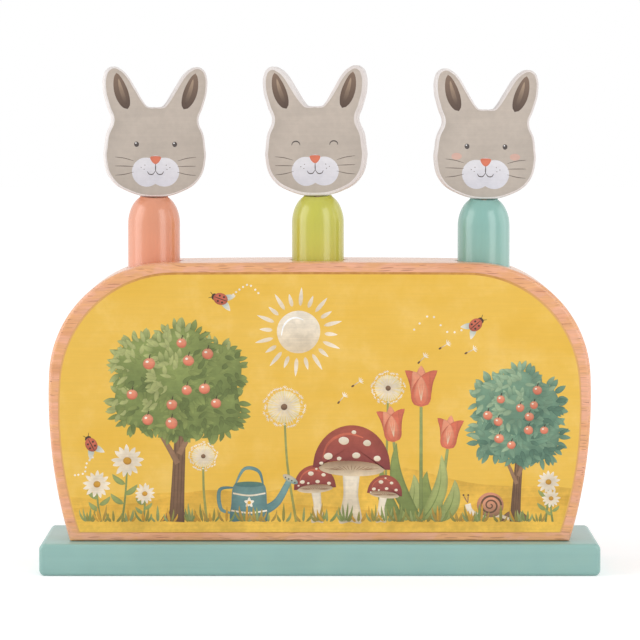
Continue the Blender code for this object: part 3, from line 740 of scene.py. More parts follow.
def dress_hidden_parts():
    """Give the small parts inside the toy, which keep their shapes, their own materials."""
    for name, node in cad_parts.items():
        if name.endswith(("spring_seat", "neck_dowel")):
            dress(node.data, "turned")
        elif name.endswith(("seat_screw", "seat_washer")) or name.startswith("base_screw"):
            dress(node.data, "steel")


# Pictures, in millimetres: shapes have points with their share of the way from the low tint
# to the high one and their nearness to the shape's rim, then faces and a border

FOOT = panel_low.z / MM + 4.4
BLOB_SPOKES = 36
BLOB_ORDERS = (2, 3, 5)
LEAF_TIP_WIDTH = 0.02
PEN_END_SHARE = 0.35
BAND_COLUMNS = 90
BAND_ROWS = 6
BAND_EDGE = 0.05


def towards(spot, angle, reach):
    """The place at some reach from a spot, in a direction in degrees clockwise from straight up."""
    return spot[0] + reach * sin(radians(angle)), spot[1] + reach * cos(radians(angle))


def around(spot, width, height, reach, angle):
    """The place at a share of a width and height from a spot, turned anticlockwise from the right."""
    return spot[0] + width * reach * cos(angle), spot[1] + height * reach * sin(angle)


def mirrored(points, hand):
    return [(hand * x, z) for x, z in points]


def moved(points, x, z, size=1):
    return [(x + across * size, z + up * size) for across, up in points]


def smooth_line(points, steps, closed=False):
    """Points along a smooth line through the given ones."""
    count = len(points)
    line = []
    for index in range(count if closed else count - 1):
        spots = range(index - 1, index + 3)
        if not closed:
            spots = [min(max(spot, 0), count - 1) for spot in spots]
        a, b, c, d = (Vector(points[spot % count]) for spot in spots)
        for t in (step / steps for step in range(steps)):
            line.append(0.5 * (2 * b + (c - a) * t + (2 * a - 5 * b + 4 * c - d) * t ** 2
                               + (3 * b - 3 * c + d - a) * t ** 3))
    if not closed:
        line.append(Vector(points[-1]))
    return [tuple(spot) for spot in line]


def grid(rows, columns):
    """The faces and the border of a net of points, for some rows and columns of faces."""
    span = columns + 1
    starts = [row * span + column for row in range(rows) for column in range(columns)]
    faces = [(start, start + 1, start + 1 + span, start + span) for start in starts]
    border = list(range(columns))
    border += [row * span + columns for row in range(rows)]
    border += [rows * span + columns - column for column in range(columns)]
    border += [(rows - row) * span for row in range(rows)]
    return faces, border


def ribbon(line, widths, columns=2):
    """A strip along a line with a width at each point."""
    points = []
    last = len(line) - 1
    for row, ((x, z), width) in enumerate(zip(line, widths)):
        before = line[max(row - 1, 0)]
        after = line[min(row + 1, last)]
        run = (after[0] - before[0], after[1] - before[1])
        length = hypot(*run) or 1
        for column in range(columns + 1):
            side = 2 * column / columns - 1
            reach = side * width / 2 / length
            points.append((x + run[1] * reach, z - run[0] * reach, row / last, abs(side)))
    return points, *grid(last, columns)


def patch(outline, centre=None, rings=5):
    """A filled shape about its centre."""
    count = len(outline)
    heights = [z for x, z in outline]
    low, high = min(heights), max(heights)
    centre = centre or (sum(x for x, z in outline) / count, sum(heights) / count)
    points = [(*centre, (centre[1] - low) / (high - low), 0.0)]
    for share in (ring / rings for ring in range(1, rings + 1)):
        for x, z in outline:
            up = centre[1] + (z - centre[1]) * share
            points.append((centre[0] + (x - centre[0]) * share, up, (up - low) / (high - low), share))
    ahead = [(spoke + 1) % count for spoke in range(count)]
    faces = [(0, 1 + spoke, 1 + ahead[spoke]) for spoke in range(count)]
    for inner in (1 + ring * count for ring in range(rings - 1)):
        outer = inner + count
        faces += [(inner + spoke, outer + spoke, outer + ahead[spoke], inner + ahead[spoke])
                  for spoke in range(count)]
    return points, faces, range(len(points) - count, len(points))


def blob(x, z, width, height, wobble=0.04, seed=0, turn=0):
    """A hand-drawn round shape, turned clockwise by some degrees."""
    random = Random(seed)
    waves = [(order, random.uniform(0, 2 * pi), random.uniform(0.3, 1) / order) for order in BLOB_ORDERS]
    outline = []
    for angle in (2 * pi * spoke / BLOB_SPOKES for spoke in range(BLOB_SPOKES)):
        reach = 1 + wobble * sum(size * cos(order * angle + phase) for order, phase, size in waves)
        outline.append(leaned(width / 2 * reach * cos(angle), height / 2 * reach * sin(angle), turn))
    return patch(moved(outline, x, z), (x, z))


def leaf(base, angle, length, width, bend=0.0, fullness=0.8, roundness=0.75, rows=8, columns=2):
    """A leaf or petal from its base, in a direction in degrees clockwise from straight up."""
    run = towards((0, 0), angle, length)
    shares = [row / rows for row in range(rows + 1)]
    line = []
    for t in shares:
        sag = 4 * bend * t * (1 - t)
        line.append((base[0] + run[0] * t + run[1] * sag, base[1] + run[1] * t - run[0] * sag))
    widths = [width * max(sin(pi * t ** fullness), 0) ** roundness + LEAF_TIP_WIDTH for t in shares]
    return ribbon(line, widths, columns)


def limb(points, start_width, end_width, steps=6, columns=2):
    """A stem or branch through some points, with its width at each end."""
    line = smooth_line(points, steps)
    last = len(line) - 1
    widths = [start_width + (end_width - start_width) * index / last for index in range(last + 1)]
    return ribbon(line, widths, columns)


def pen(points, width, steps=6):
    """A pen line through some points, thin at both ends."""
    line = smooth_line(points, steps)
    last = len(line) - 1
    swells = (PEN_END_SHARE + (1 - PEN_END_SHARE) * sin(pi * index / last) for index in range(last + 1))
    return ribbon(line, [width * swell for swell in swells])


def rounded(points):
    """A filled shape with a smooth outline through some points."""
    return patch(smooth_line(points, 6, closed=True))


def arch(x, z, width, height, steps=7, turn=0.0):
    """Points of an arch, from its left end over its top to its right end."""
    angles = (pi - pi * step / (steps - 1) for step in range(steps))
    return moved([leaned(width / 2 * cos(angle), height * sin(angle), turn) for angle in angles], x, z)


def panel_reach(z):
    """Half the printed width of the panel at a height on its sides, both in millimetres."""
    radius = PANEL_SIDE_RADIUS - PRINTED_INSET
    return (panel_high.x - PANEL_SIDE_RADIUS + sqrt(radius ** 2 - (z * MM - PANEL_WIDEST) ** 2)) / MM


def band(height_at):
    """Ground across the whole panel, from its foot up to a line given as a function of the place."""
    foot = panel_low.z / MM + BAND_EDGE
    points = []
    for t in (row / BAND_ROWS for row in range(BAND_ROWS + 1)):
        for column in range(BAND_COLUMNS + 1):
            share = 2 * column / BAND_COLUMNS - 1
            z = foot + (height_at(share * panel_reach(foot)) - foot) * t
            points.append((share * (panel_reach(z) - 2 * BAND_EDGE), z, t, t ** 3))
    return points, *grid(BAND_ROWS, BAND_COLUMNS)


class Picture:
    """Painted shapes on the front of a board, each a thin closed solid.

    Pictures on one board share the list of what was laid on it, so that each new shape
    lies a coat higher than all that it may cover.
    """

    def __init__(self, name, front, laid, shift=0, lean=0):
        self.name = name
        self.front = front
        self.laid = laid
        self.shift = shift
        self.lean = lean
        self.work = bmesh.new()
        self.tint = self.work.verts.layers.float_color.new("tint")
        self.rim = self.work.verts.layers.float.new("rim")

    def next_depth(self, points):
        """How far a new shape's face stands out, a coat above the shapes that its box meets."""
        across, up = list(zip(*points))[:2]
        left, right, low, high = min(across), max(across), min(up), max(up)
        below = [depth for a, b, c, d, depth in self.laid if a < right and b > left and c < high and d > low]
        depth = max(below, default=0) + COAT
        self.laid.append((left, right, low, high, depth))
        return depth

    def add(self, shape, low, high=None, rim=1):
        """Paint a shape in one flat ink, or from a low ink to a high one and darker at its rim."""
        points, faces, border = shape
        low_tint = Vector(linear(low))
        high_tint = Vector(linear(high or low))
        layers = []
        for depth in (self.next_depth(points), 0):
            corners = []
            for x, z, along, edge in points:
                across, up = leaned(x * MM, z * MM, self.lean)
                corner = self.work.verts.new((self.shift + across, self.front - depth, up))
                corner[self.tint] = (*low_tint.lerp(high_tint, along), 1.0)
                corner[self.rim] = edge * rim if high else 0
                corners.append(corner)
            layers.append(corners)
        top, bottom = layers
        for face in faces:
            self.work.faces.new([top[index] for index in face])
            self.work.faces.new([bottom[index] for index in reversed(face)])
        for index, start in enumerate(border):
            end = border[(index + 1) % len(border)]
            self.work.faces.new((top[start], bottom[start], bottom[end], top[end]))

    def hang(self, body, slot, material, place=(0, 0, 0), turn=0):
        finish(new_piece(self.name, mesh_from(self.work, self.name), material, place, turn), body, slot)


# Inks
SAGE = (156, 166, 106)
SAGE_PALE = (180, 186, 122)
LEAF = (142, 154, 90)
LEAF_DEEP = (114, 128, 74)
LEAF_BLUE = (126, 158, 132)
BLUE_DEEP = (96, 130, 110)
BLUE_PALE = (158, 184, 150)
OLIVE = (154, 148, 78)
CORAL = (216, 116, 90)
CORAL_PALE = (236, 160, 128)
BRICK = (180, 94, 76)
BRICK_DARK = (140, 68, 68)
WHITE = (255, 255, 255)
CREAM = (243, 232, 214)
CREAM_SHADE = (226, 206, 176)
STRAW = (238, 214, 150)
STRAW_PALE = (240, 220, 166)
BROWN = (152, 118, 92)
BROWN_DARK = (104, 78, 60)
INK = (72, 56, 46)
WATER = (124, 158, 154)
WATER_DEEP = (88, 124, 126)
OCHRE = (216, 164, 66)
OCHRE_DEEP = (196, 140, 52)
HILL_FAR = (228, 181, 76)
HILL_NEAR = (222, 173, 70)
GRASS_DRY = (184, 152, 76)

# Hills: their level, their waves with height, length and phase, and their ink
HILLS = (
    (38, ((6, 31, 0.6), (2.5, 13, 0)), HILL_FAR),
    (30, ((4.5, 24, 3.4), (1.2, 9, 0)), HILL_NEAR),
)
SUN = (-9.0, 103.0)
SUN_RAYS = (8.0, 5.6) * 10

# Trees: seed, place, the crown's middle height, width and height, the fruit's size, the leaves' inks
TREES = {
    "apple_tree": (21, -60, 80, 54, 50, 1.0, (LEAF_DEEP, LEAF, SAGE_PALE)),
    "small_tree": (33, 84, 66, 36, 42, 0.8, (BLUE_DEEP, LEAF_BLUE, BLUE_PALE)),
}

# Clumps of leaves: their places in the crown and their size, as shares of it
CLUMP_SHARES = (
    (0.26, -0.18, 0.52), (-0.28, -0.14, 0.5), (0.0, -0.2, 0.5), (0.27, 0.14, 0.5),
    (-0.27, 0.18, 0.5), (0.02, 0.27, 0.5), (0.0, 0.04, 0.46),
)
FRUIT_COUNT = 11

# Flowers, toadstools and the like: place, height, size and lean of each
TULIPS = ((35, 34, 15, -6), (51, 31, 14, 6), (43, 49, 17, 0))
TOADSTOOLS = ((26, 14, 15, 6), (-1, 17, 18, -4), (13, 28, 33, 2))
DAISIES = ((-93, 16, 12, -6), (-84, 26, 14, 5), (-75, 12, 9, 3), (96, 17, 10, 4), (99, 10, 8, -4))
DANDELIONS = ((-10, 49, 16, -6), (27, 57, 13, 2), (-48, 28, 11, -3))

# Petals and leaves of a tulip: angle or side, length and width or foot, and inks
TULIP_PETALS = (
    (-24, 1.0, 0.5, BRICK, CORAL), (24, 1.0, 0.5, BRICK, CORAL), (0, 1.04, 0.46, CORAL, CORAL_PALE),
    (-13, 0.92, 0.5, CORAL, CORAL_PALE), (13, 0.9, 0.5, CORAL, CORAL),
)
TULIP_LEAVES = ((-1, 0.72, 0.0, LEAF_DEEP, LEAF), (1, 0.6, 0.5, LEAF, SAGE_PALE))
DAISY_LEAVES = ((-1, 0.3), (1, 0.45), (-1, 0.62))
DAISY_PETALS = 13
DANDELION_HAIRS = 34

# Flying seeds: place and angle
SEEDS = ((42, 90, 44), (51, 96, 58), (62, 94, 64), (8, 73, 40), (14, 80, 56))

# Spots on a toadstool's cap: their places over its middle and their size, as shares of its width
CAP_SPOT_SHARES = (
    (-0.3, 0.16, 0.11), (-0.1, 0.36, 0.13), (0.06, 0.17, 0.1), (0.2, 0.33, 0.1), (0.33, 0.13, 0.09),
    (-0.16, 0.13, 0.06), (-0.39, 0.07, 0.05), (0.03, 0.47, 0.06),
)

# The watering can, from the middle of its foot
CAN = (-30.0, FOOT + 0.6)
CAN_SPOUT = ((6, 4), (12, 8), (17, 17))
CAN_HANDLE = ((-6.5, 14), (-12.5, 13), (-12, 5), (-7, 3))
CAN_BAIL = ((-6, 15), (-2, 22), (4, 21), (6, 15))
CAN_BODY = (
    (-8, 0), (-7.6, 7), (-6.6, 15), (-2, 15.6), (2, 15.6), (6.6, 15), (7.6, 7), (8, 0), (3, -0.3), (-3, -0.3),
)
CAN_HOOPS = ((4.2, 7.6), (11.6, 6.9))

# The snail, from the middle of its foot
SNAIL = (72.5, FOOT + 1.6)
SNAIL_BODY = ((8, -0.4), (3, 1.1), (-5, 1.2), (-8.5, 3.2), (-9.6, 6))
SNAIL_HORNS = (-1.4, 0.6)
SNAIL_COIL_STEPS = 34

# Ladybirds: place, turn and the line of their flight; their spots are across and along the back
FLIGHTS = (
    (-97, 55, -28, ((-104, 42), (-100, 43), (-99, 47), (-96, 50))),
    (66, 106, 50, ((40, 104), (47, 110), (54, 103), (61, 104))),
    (-42, 117, -70, ((-26, 119.5), (-30, 123), (-34, 121), (-37, 118.5))),
)
LADYBIRD_SPOTS = ((-1.2, 0.8), (1.2, 0.8), (-1.2, -1.1), (1.2, -1.1))


def draw_ground(add):
    for level, waves, tint in HILLS:
        add(band(lambda x: level + sum(rise * sin(x / length + phase) for rise, length, phase in waves)),
            YELLOW, tint, 0.6)


def draw_sun(add):
    for number, length in enumerate(SUN_RAYS):
        angle = 360 / len(SUN_RAYS) * number + 4
        add(leaf(towards(SUN, angle, 11), angle, length, 1.7, fullness=0.7), CREAM_SHADE, CREAM, 0.4)
    add(blob(*SUN, 18.5, 18, 0.02, 5), CREAM_SHADE, CREAM, 0.5)
    add(pen(moved(arch(-1, -1.5, 12.5, 7.6)[:5], *SUN), 0.8), WHITE)


def leafy_clump(add, spot, width, height, tints, random):
    """A clump of leaves: a ring that points outwards, a filled middle and leaves scattered over it."""
    deep, middle, pale = tints
    ring = round((width + height) / 1.9)
    for index in range(ring):
        angle = 2 * pi * index / ring + random.uniform(-0.1, 0.1)
        outward = 90 - degrees(angle) + random.uniform(-30, 30)
        tip = pale if sin(angle) - cos(angle) > 0.5 else middle
        size = (random.uniform(4.2, 6.0), random.uniform(2.0, 2.8))
        add(leaf(around(spot, width, height, 0.41, angle), outward, *size, rows=6), deep, tip)
    add(blob(*spot, width * 0.9, height * 0.9, 0.08, random.randint(1, 99)), deep, middle, 0.8)
    for index in range(round(width * height / 11)):
        reach = sqrt(random.random()) * 0.44
        angle = random.uniform(0, 2 * pi)
        outward = 90 - degrees(angle) + random.uniform(-70, 70)
        sunny = reach * (sin(angle) - cos(angle)) + random.uniform(-0.2, 0.2)
        tint = pale if sunny > 0.12 else middle if sunny > -0.14 else deep
        shade = tuple(channel * 0.88 for channel in tint)
        size = (random.uniform(3.6, 5.4), random.uniform(1.6, 2.3))
        add(leaf(around(spot, width, height, reach, angle), outward, *size, rows=6), shade, tint)


def draw_tree(add, seed, x, crown, width, height, fruit, tints):
    """A round tree with a crown of leafy clumps and small round fruit."""
    random = Random(seed)
    fork = crown - height * 0.3
    trunk = ((x - 1.0, FOOT), (x - 0.4, FOOT + 12), (x + 0.8, fork), (x, crown + height * 0.1))
    for root in (-1, 1):
        add(leaf((x + root * width * 0.02 - 1, FOOT + 4), root * 124, 7, 3, fullness=0.6), BROWN, BROWN_DARK)
    add(limb(trunk, width * 0.13, width * 0.06, columns=4), BROWN_DARK, BROWN)
    for across in (-0.03, 0.0, 0.03):
        add(pen(moved(trunk[:3], across * width * 0.9, 1 + 20 * abs(across)), 0.4), BROWN_DARK)
    for side, rise in ((-1, 0.5), (1, 0.42)):
        start = (x + side * 0.3, crown - height * (rise + 0.16))
        bend = (x + side * width * 0.1, crown - height * (rise - 0.02))
        end = (x + side * width * 0.26, crown - height * 0.2)
        add(limb((start, bend, end), width * 0.05, width * 0.025), BROWN, BROWN)
    for across, up, size in CLUMP_SHARES:
        spot = (x + across * width, crown + up * height)
        leafy_clump(add, spot, size * width, size * height, tints, random)
    placed = []
    while len(placed) < FRUIT_COUNT:
        spot = around((x, crown), width, height, sqrt(random.random()) * 0.38, random.uniform(0, 2 * pi))
        if all(hypot(spot[0] - other[0], spot[1] - other[1]) > width * 0.14 for other in placed):
            placed.append(spot)
    for number, (x, z) in enumerate(placed):
        size = random.uniform(4.2, 5.2) * fruit
        add(blob(x, z, size, size * 0.96, 0.05, number), CORAL, CORAL_PALE)
        add(blob(x - size * 0.16, z + size * 0.16, size * 0.26, size * 0.2, 0.05, number), CREAM)
        add(pen(((x, z + size * 0.4), (x + 0.5, z + size * 0.8)), 0.45), INK)
        add(leaf((x + 0.4, z + size * 0.6), 62, size * 0.55, size * 0.24), *tints[:2])


def stem(x, height, lean, widths, middle=(0.5, 0.5), sway=0.0):
    """The top of a stem that rises from the foot and leans, and the stem, bent by some sway."""
    top = (x + height * sin(radians(lean)), FOOT + height)
    bend = (x + (top[0] - x) * middle[0] + lean * sway, FOOT + height * middle[1])
    return top, limb(((x, FOOT), bend, top), *widths)


def draw_dandelions(add):
    """Dandelion clocks, with round heads of fine hairs on thin stems, and their seeds in the air."""
    for seed, (x, height, size, lean) in enumerate(DANDELIONS):
        random = Random(seed)
        top, stalk = stem(x, height, lean, (1.1, 0.8), sway=0.2)
        add(stalk, OLIVE, SAGE)
        add(blob(*top, size * 0.86, size * 0.86, 0.03, seed), STRAW, STRAW_PALE, 0.3)
        for number in range(DANDELION_HAIRS):
            angle = 360 * number / DANDELION_HAIRS + random.uniform(-3, 3)
            reach = size / 2 * random.uniform(0.86, 1.06)
            add(leaf(top, angle, reach, 0.42, fullness=0.9, roundness=0.4, rows=4), CREAM_SHADE, CREAM, 0)
            for tuft in (-46, 0, 46):
                add(leaf(towards(top, angle, reach), angle + tuft, size * 0.08, 0.3, rows=3), CREAM)
        add(blob(*top, size * 0.17, size * 0.17, 0.05, seed), BROWN_DARK, BROWN)
    for x, z, angle in SEEDS:
        end = towards((x, z), angle, 3.4)
        add(pen(((x, z), end), 0.4, 3), BROWN, CREAM, 0)
        add(blob(x, z, 0.8, 1.4, 0, 1, angle), BROWN_DARK)
        for tuft in (-60, -30, 0, 30, 60):
            add(leaf(end, angle + tuft, 2.0, 0.36, rows=4), CREAM)


def draw_tulips(add):
    for x, height, size, lean in TULIPS:
        top, stalk = stem(x, height, lean, (1.7, 1.2), middle=(1 / 3, 0.45))
        add(stalk, LEAF_DEEP, SAGE)
        for side, length, foot, low, high in TULIP_LEAVES:
            stance = ((x, FOOT + foot), side * 17 + lean / 2)
            add(leaf(*stance, height * length, 6.4, side * 0.13, 0.72, 0.8, 18, 4), low, high)
            add(leaf(*stance, height * length * 0.92, 0.5, side * 0.13, 0.5, 0.8, 18), LEAF_DEEP, LEAF, 0)
        for angle, length, width, low, high in TULIP_PETALS:
            petal = leaf(top, lean + angle, size * length, size * width, -angle / 150, 0.62, 0.7, 14, 4)
            add(petal, low, high)
        cup = (top[0], top[1] + size * 0.04)
        add(leaf(cup, lean, size * 0.72, size * 0.36, 0, 0.66, 0.7, 14, 4), CORAL, CORAL_PALE)
        for angle in (-10, 0, 9):
            vein = leaf((cup[0], cup[1] + size * 0.1), lean + angle, size * 0.5, 0.3)
            add(vein, CREAM_SHADE, CORAL_PALE, 0)


def draw_toadstools(add):
    for number, (x, height, cap, lean) in enumerate(TOADSTOOLS):
        top = (x + lean * 0.25, FOOT + height - cap * 0.16)
        bend = FOOT + height * 0.4
        collar = top[1] + cap * 0.06
        add(rounded((
            (x - cap * 0.15, FOOT), (x - cap * 0.09, bend), (top[0] - cap * 0.1, collar),
            (top[0] + cap * 0.1, collar), (x + cap * 0.1, bend), (x + cap * 0.15, FOOT), (x, FOOT - 0.05),
        )), CREAM_SHADE, CREAM)
        add(blob(*top, cap * 0.84, cap * 0.2, 0.02, number, lean), CREAM_SHADE, BROWN, 0.4)
        for rib in range(-6, 7):
            ends = ((rib * 0.028, -0.02), (rib * 0.058, 0.05 - abs(rib) * 0.008))
            add(pen(moved(ends, *top, cap), 0.3, 3), BROWN)
        dome = arch(*top, cap, cap * 0.56, 11, lean)
        under = arch(*top, cap * 0.86, cap * 0.1, 7, lean)
        outline = smooth_line(dome, 5) + smooth_line(under[::-1], 4)
        add(patch(outline, (top[0], top[1] + cap * 0.3), 8), BRICK_DARK, BRICK)
        shine = arch(top[0] - cap * 0.03, top[1] + cap * 0.12, cap * 0.68, cap * 0.33, 7, lean)
        add(pen(shine[:5], cap * 0.035), BRICK, CORAL, 0)
        for spot, (across, up, size) in enumerate(CAP_SPOT_SHARES):
            place = (top[0] + across * cap, top[1] + up * cap)
            add(blob(*place, size * cap, size * cap * 0.8, 0.08, spot), CREAM_SHADE, CREAM, 0.5)


def draw_watering_can(add):
    x, foot = CAN
    add(limb(moved(CAN_SPOUT, *CAN), 4.2, 2.4, columns=4), WATER_DEEP, WATER)
    add(blob(x + 17.5, foot + 17.6, 7.2, 2.8, 0.0, 1, 30), WATER, CREAM_SHADE)
    for number in range(4):
        add(blob(x + 15.5 + number * 1.3, foot + 18.4 - number * 0.72, 0.6, 0.6), INK)
    add(pen(moved(CAN_HANDLE, *CAN), 1.7), WATER_DEEP, WATER)
    add(pen(moved(CAN_BAIL, *CAN), 1.5), WATER, WATER_DEEP)
    add(rounded(moved(CAN_BODY, *CAN)), WATER_DEEP, WATER)
    add(blob(x, foot + 15.4, 12.6, 2.4, 0.0, 2), WATER_DEEP, BLUE_DEEP, 0)
    for rise, reach in CAN_HOOPS:
        hoop = ((-reach, rise), (0, rise - 1), (reach, rise))
        add(limb(moved(hoop, *CAN), 0.7, 0.7), CREAM_SHADE, CREAM, 0)
    flower = (x, foot + 7.6)
    for number in range(5):
        add(leaf(flower, 72 * number, 2.3, 1.4), CREAM, CREAM, 0.3)
    add(blob(*flower, 1.5, 1.5), OCHRE)


def draw_daisies(add):
    for seed, (x, height, size, lean) in enumerate(DAISIES):
        random = Random(seed)
        top, stalk = stem(x, height, lean, (0.9, 0.7), sway=0.08)
        add(stalk, LEAF_DEEP, SAGE)
        for side, rise in DAISY_LEAVES:
            spot = (x + (top[0] - x) * rise, FOOT + height * rise)
            add(leaf(spot, side * 52, size * 0.5, size * 0.17, side * 0.1), LEAF, SAGE)
        for number in range(DAISY_PETALS):
            angle = 360 * number / DAISY_PETALS + random.uniform(-4, 4)
            length = size / 2 * random.uniform(0.93, 1.05)
            add(leaf(top, angle, length, size * 0.15, fullness=1.25), CREAM_SHADE, CREAM, 0.5)
        add(blob(*top, size * 0.25, size * 0.23, 0.04, seed), OCHRE_DEEP, OCHRE)


def draw_snail(add):
    x, foot = SNAIL
    add(limb(moved(SNAIL_BODY, *SNAIL), 1.2, 2.6, columns=4), CREAM_SHADE, CREAM)
    for reach in SNAIL_HORNS:
        add(pen(moved(((-9.6, 6.4), (reach - 10, 9.6)), *SNAIL), 0.5, 4), BROWN)
        add(blob(x - 10 + reach, foot + 9.8, 0.8, 0.8), BROWN_DARK)
    add(blob(x, foot + 5.6, 11.4, 10.6, 0.03, 3), BROWN, CORAL_PALE)
    coil = []
    for step in range(SNAIL_COIL_STEPS):
        reach = 4.7 * (1 - step / (SNAIL_COIL_STEPS + 2))
        coil.append(around((x, foot + 5.4), 1, 0.94, reach, 0.42 * step))
    add(limb(coil, 0.9, 0.5, 3), BROWN_DARK)


def draw_ladybirds(add):
    """Ladybirds, each with the dotted line of its flight."""
    for x, z, turn, path in FLIGHTS:
        for spot in smooth_line(path, 5)[::2]:
            add(blob(*spot, 0.9, 0.9), CREAM)

        def on_back(*spots):
            return moved([leaned(*spot, turn) for spot in spots], x, z)

        for side in (-1, 1):
            add(pen(on_back((0, 2.9), (side * 1.4, 5.1)), 0.3, 3), INK)
            add(leaf(*on_back((0, -0.4)), turn + 180 - side * 34, 6.2, 2.6), WATER, CREAM, 0.3)
        add(blob(*on_back((0, 2.9))[0], 2.8, 2.2, 0.0, 1, turn), INK)
        add(blob(x, z, 5.0, 6.2, 0.02, 1, turn), BRICK, CORAL)
        add(pen(on_back((0, 2.8), (0, -2.9)), 0.4, 3), INK)
        for spot in on_back(*LADYBIRD_SPOTS):
            add(blob(*spot, 0.9, 0.9), INK)


def draw_grass(add):
    """Tufts of grass along the foot of the panel, in front of what stands there."""
    random = Random(11)
    for x in range(-98, 100, 6):
        place = x + random.uniform(-2, 2)
        blades = random.randint(3, 6)
        for index in range(blades):
            share = 2 * index / (blades - 1) - 1
            angle = 28 * share + random.uniform(-4, 4)
            length = random.uniform(4, 9) * (1 - 0.25 * abs(share))
            tint = random.choice((OLIVE, SAGE, GRASS_DRY, OCHRE, LEAF))
            deep = tuple(channel * 0.86 for channel in tint)
            width = 1.1 * random.uniform(0.8, 1.2)
            add(leaf((place + share * 1.1, FOOT), angle, length, width, 0.12 * share, 0.6), deep, tint)


def make_panel():
    """The thin plywood panel with its singed edge, the yellow print on it and the garden on that."""
    mesh = slab_mesh("panel_board", panel_outline(SEAT_GAP - SHOWN_PANEL_GAP), FRONT, panel_high.y)
    finish(new_piece("panel_board", mesh, "charred"), "toy_body", "yellow_print", "front_panel")
    printed_outline = panel_outline(-PRINTED_INSET, PRINTED_DROP)
    ground = slab_mesh("panel_ground", printed_outline, FRONT - GROUND_THICKNESS, FRONT)
    finish(new_piece("panel_ground", ground, "yellow"), "toy_body", "yellow_print")
    laid = []
    for name, draw, *details in (
            ("ground", draw_ground),
            ("sun", draw_sun),
            ("apple_tree", draw_tree, *TREES["apple_tree"]),
            ("small_tree", draw_tree, *TREES["small_tree"]),
            ("dandelions", draw_dandelions),
            ("tulips", draw_tulips),
            ("toadstools", draw_toadstools),
            ("watering_can", draw_watering_can),
            ("daisies", draw_daisies),
            ("snail", draw_snail),
            ("ladybirds", draw_ladybirds),
            ("grass", draw_grass)):
        picture = Picture(f"picture_{name}", FRONT - GROUND_THICKNESS, laid)
        draw(picture.add, *details)
        picture.hang("toy_body", "yellow_print", "picture")


# Rabbit heads, with their faces in millimetres from the chin

FACE_TAUPE = (189, 178, 167)
FACE_TAUPE_WARM = (197, 184, 172)
EAR_TAN = (134, 112, 96)
EAR_BROWN = (84, 68, 60)
EAR_LIGHT = (176, 152, 130)
MUZZLE = (230, 228, 232)
MUZZLE_SHADE = (216, 214, 222)
NOSE = (222, 126, 98)
FACE_INK = (84, 76, 74)
WHISKER_INK = (112, 102, 94)
BLUSH = (212, 174, 160)

# The wash's distance from the head's edge, least in the notch between the ears
FACE_INSETS = {"left": 0.8, "middle": 1.4, "right": 0.9}
NOTCH_INSET = 0.45
NOTCH_REACH = 9.0
FACE_CENTRE = (0, 24)
FACE_RINGS = 12

# Insides of an ear: their foot, their length, width, fullness, steps and ink
EARS = (((12.0, 37.5), 16.2, 5.8, 0.85, 16, EAR_TAN), ((12.5, 39.5), 11.5, 1.8, 0.8, 12, EAR_LIGHT))
EAR_LEAN = 18
EAR_BEND = 0.03

# Round shapes of the muzzle: place, width, height, wobble and seed
MUZZLE_CHEEKS = ((-3.9, 10.6, 12.4, 12.6, 0.03, 1), (3.9, 10.6, 12.4, 12.6, 0.03, 2))
MUZZLE_MIDDLE = (0, 12.2, 9, 11, 0.0, 3)
LIP_WIDTH = 0.42
NOSE_POINTS = ((-2.3, 17.0), (0, 17.5), (2.3, 17.0), (1.5, 15.0), (0, 14.0), (-1.5, 15.0))
LIP_LINE = ((0, 14.2), (0, 12.2), (0, 11.0))
MOUTH_LINE = ((0, 11.2), (1.2, 9.7), (2.8, 9.8), (3.5, 10.9))
WHISKER_DOTS = ((4.6, 13.6), (6.2, 12.6), (4.9, 11.8))
EYE_REACH = 8.2

# Whiskers: the height that each starts at and its rise
WHISKERS = ((15.4, 1.6), (13.0, 0.2), (10.6, -1.4))


def head_outline():
    """The head's outline from its chin, evaluated from a smooth curve through its points."""
    half = [(x * HEAD_HALF_WIDTH, z * HEAD_HEIGHT) for x, z in HEAD_OUTLINE_SHARES]
    corners = half + mirrored(half[-2:0:-1], -1)
    curve = bpy.data.curves.new("head_outline", "CURVE")
    curve.dimensions = "2D"
    curve.fill_mode = "NONE"
    curve.resolution_u = HEAD_CURVE_STEPS
    spline = curve.splines.new("BEZIER")
    spline.bezier_points.add(len(corners) - 1)
    for point, (x, z) in zip(spline.bezier_points, corners):
        point.co = (x, z, 0)
        point.handle_left_type = "AUTO"
        point.handle_right_type = "AUTO"
    spline.use_cyclic_u = True
    drawn = add_object("head_outline", curve)
    outline = [(vert.co.x, vert.co.y) for vert in worked_out(drawn).vertices]
    bpy.data.objects.remove(drawn)
    return outline


def offset_by(outline, inset_at):
    """A closed outline moved inwards by what a function gives for each place."""
    moved_in = []
    for index, (x, z) in enumerate(outline):
        before = outline[index - 1]
        after = outline[(index + 1) % len(outline)]
        run = (after[0] - before[0], after[1] - before[1])
        share = inset_at(x, z) / hypot(*run)
        moved_in.append((x - run[1] * share, z + run[0] * share))
    return moved_in


def make_head(side, outline):
    name = f"{side}_rabbit_head"
    chin = CHIN_HEIGHTS[side]
    mesh = slab_mesh(name, hung(side, outline), -HEAD_THICKNESS / 2, HEAD_THICKNESS / 2, HEAD_EDGE_RADIUS)
    head = new_piece(name, mesh, "pale_ply", (PEG_PLACES[side], 0, chin), HEAD_TURNS[side])
    socket_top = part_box(f"{side}_neck_dowel")[1].z + SEAT_GAP
    drill(head, ((DOWEL_BORE_RADIUS, socket_top), (DOWEL_BORE_RADIUS, chin - CUT_OVERRUN)), PEG_PLACES[side])
    finish(head, f"{side}_rabbit", "taupe_print", f"{side}_head")


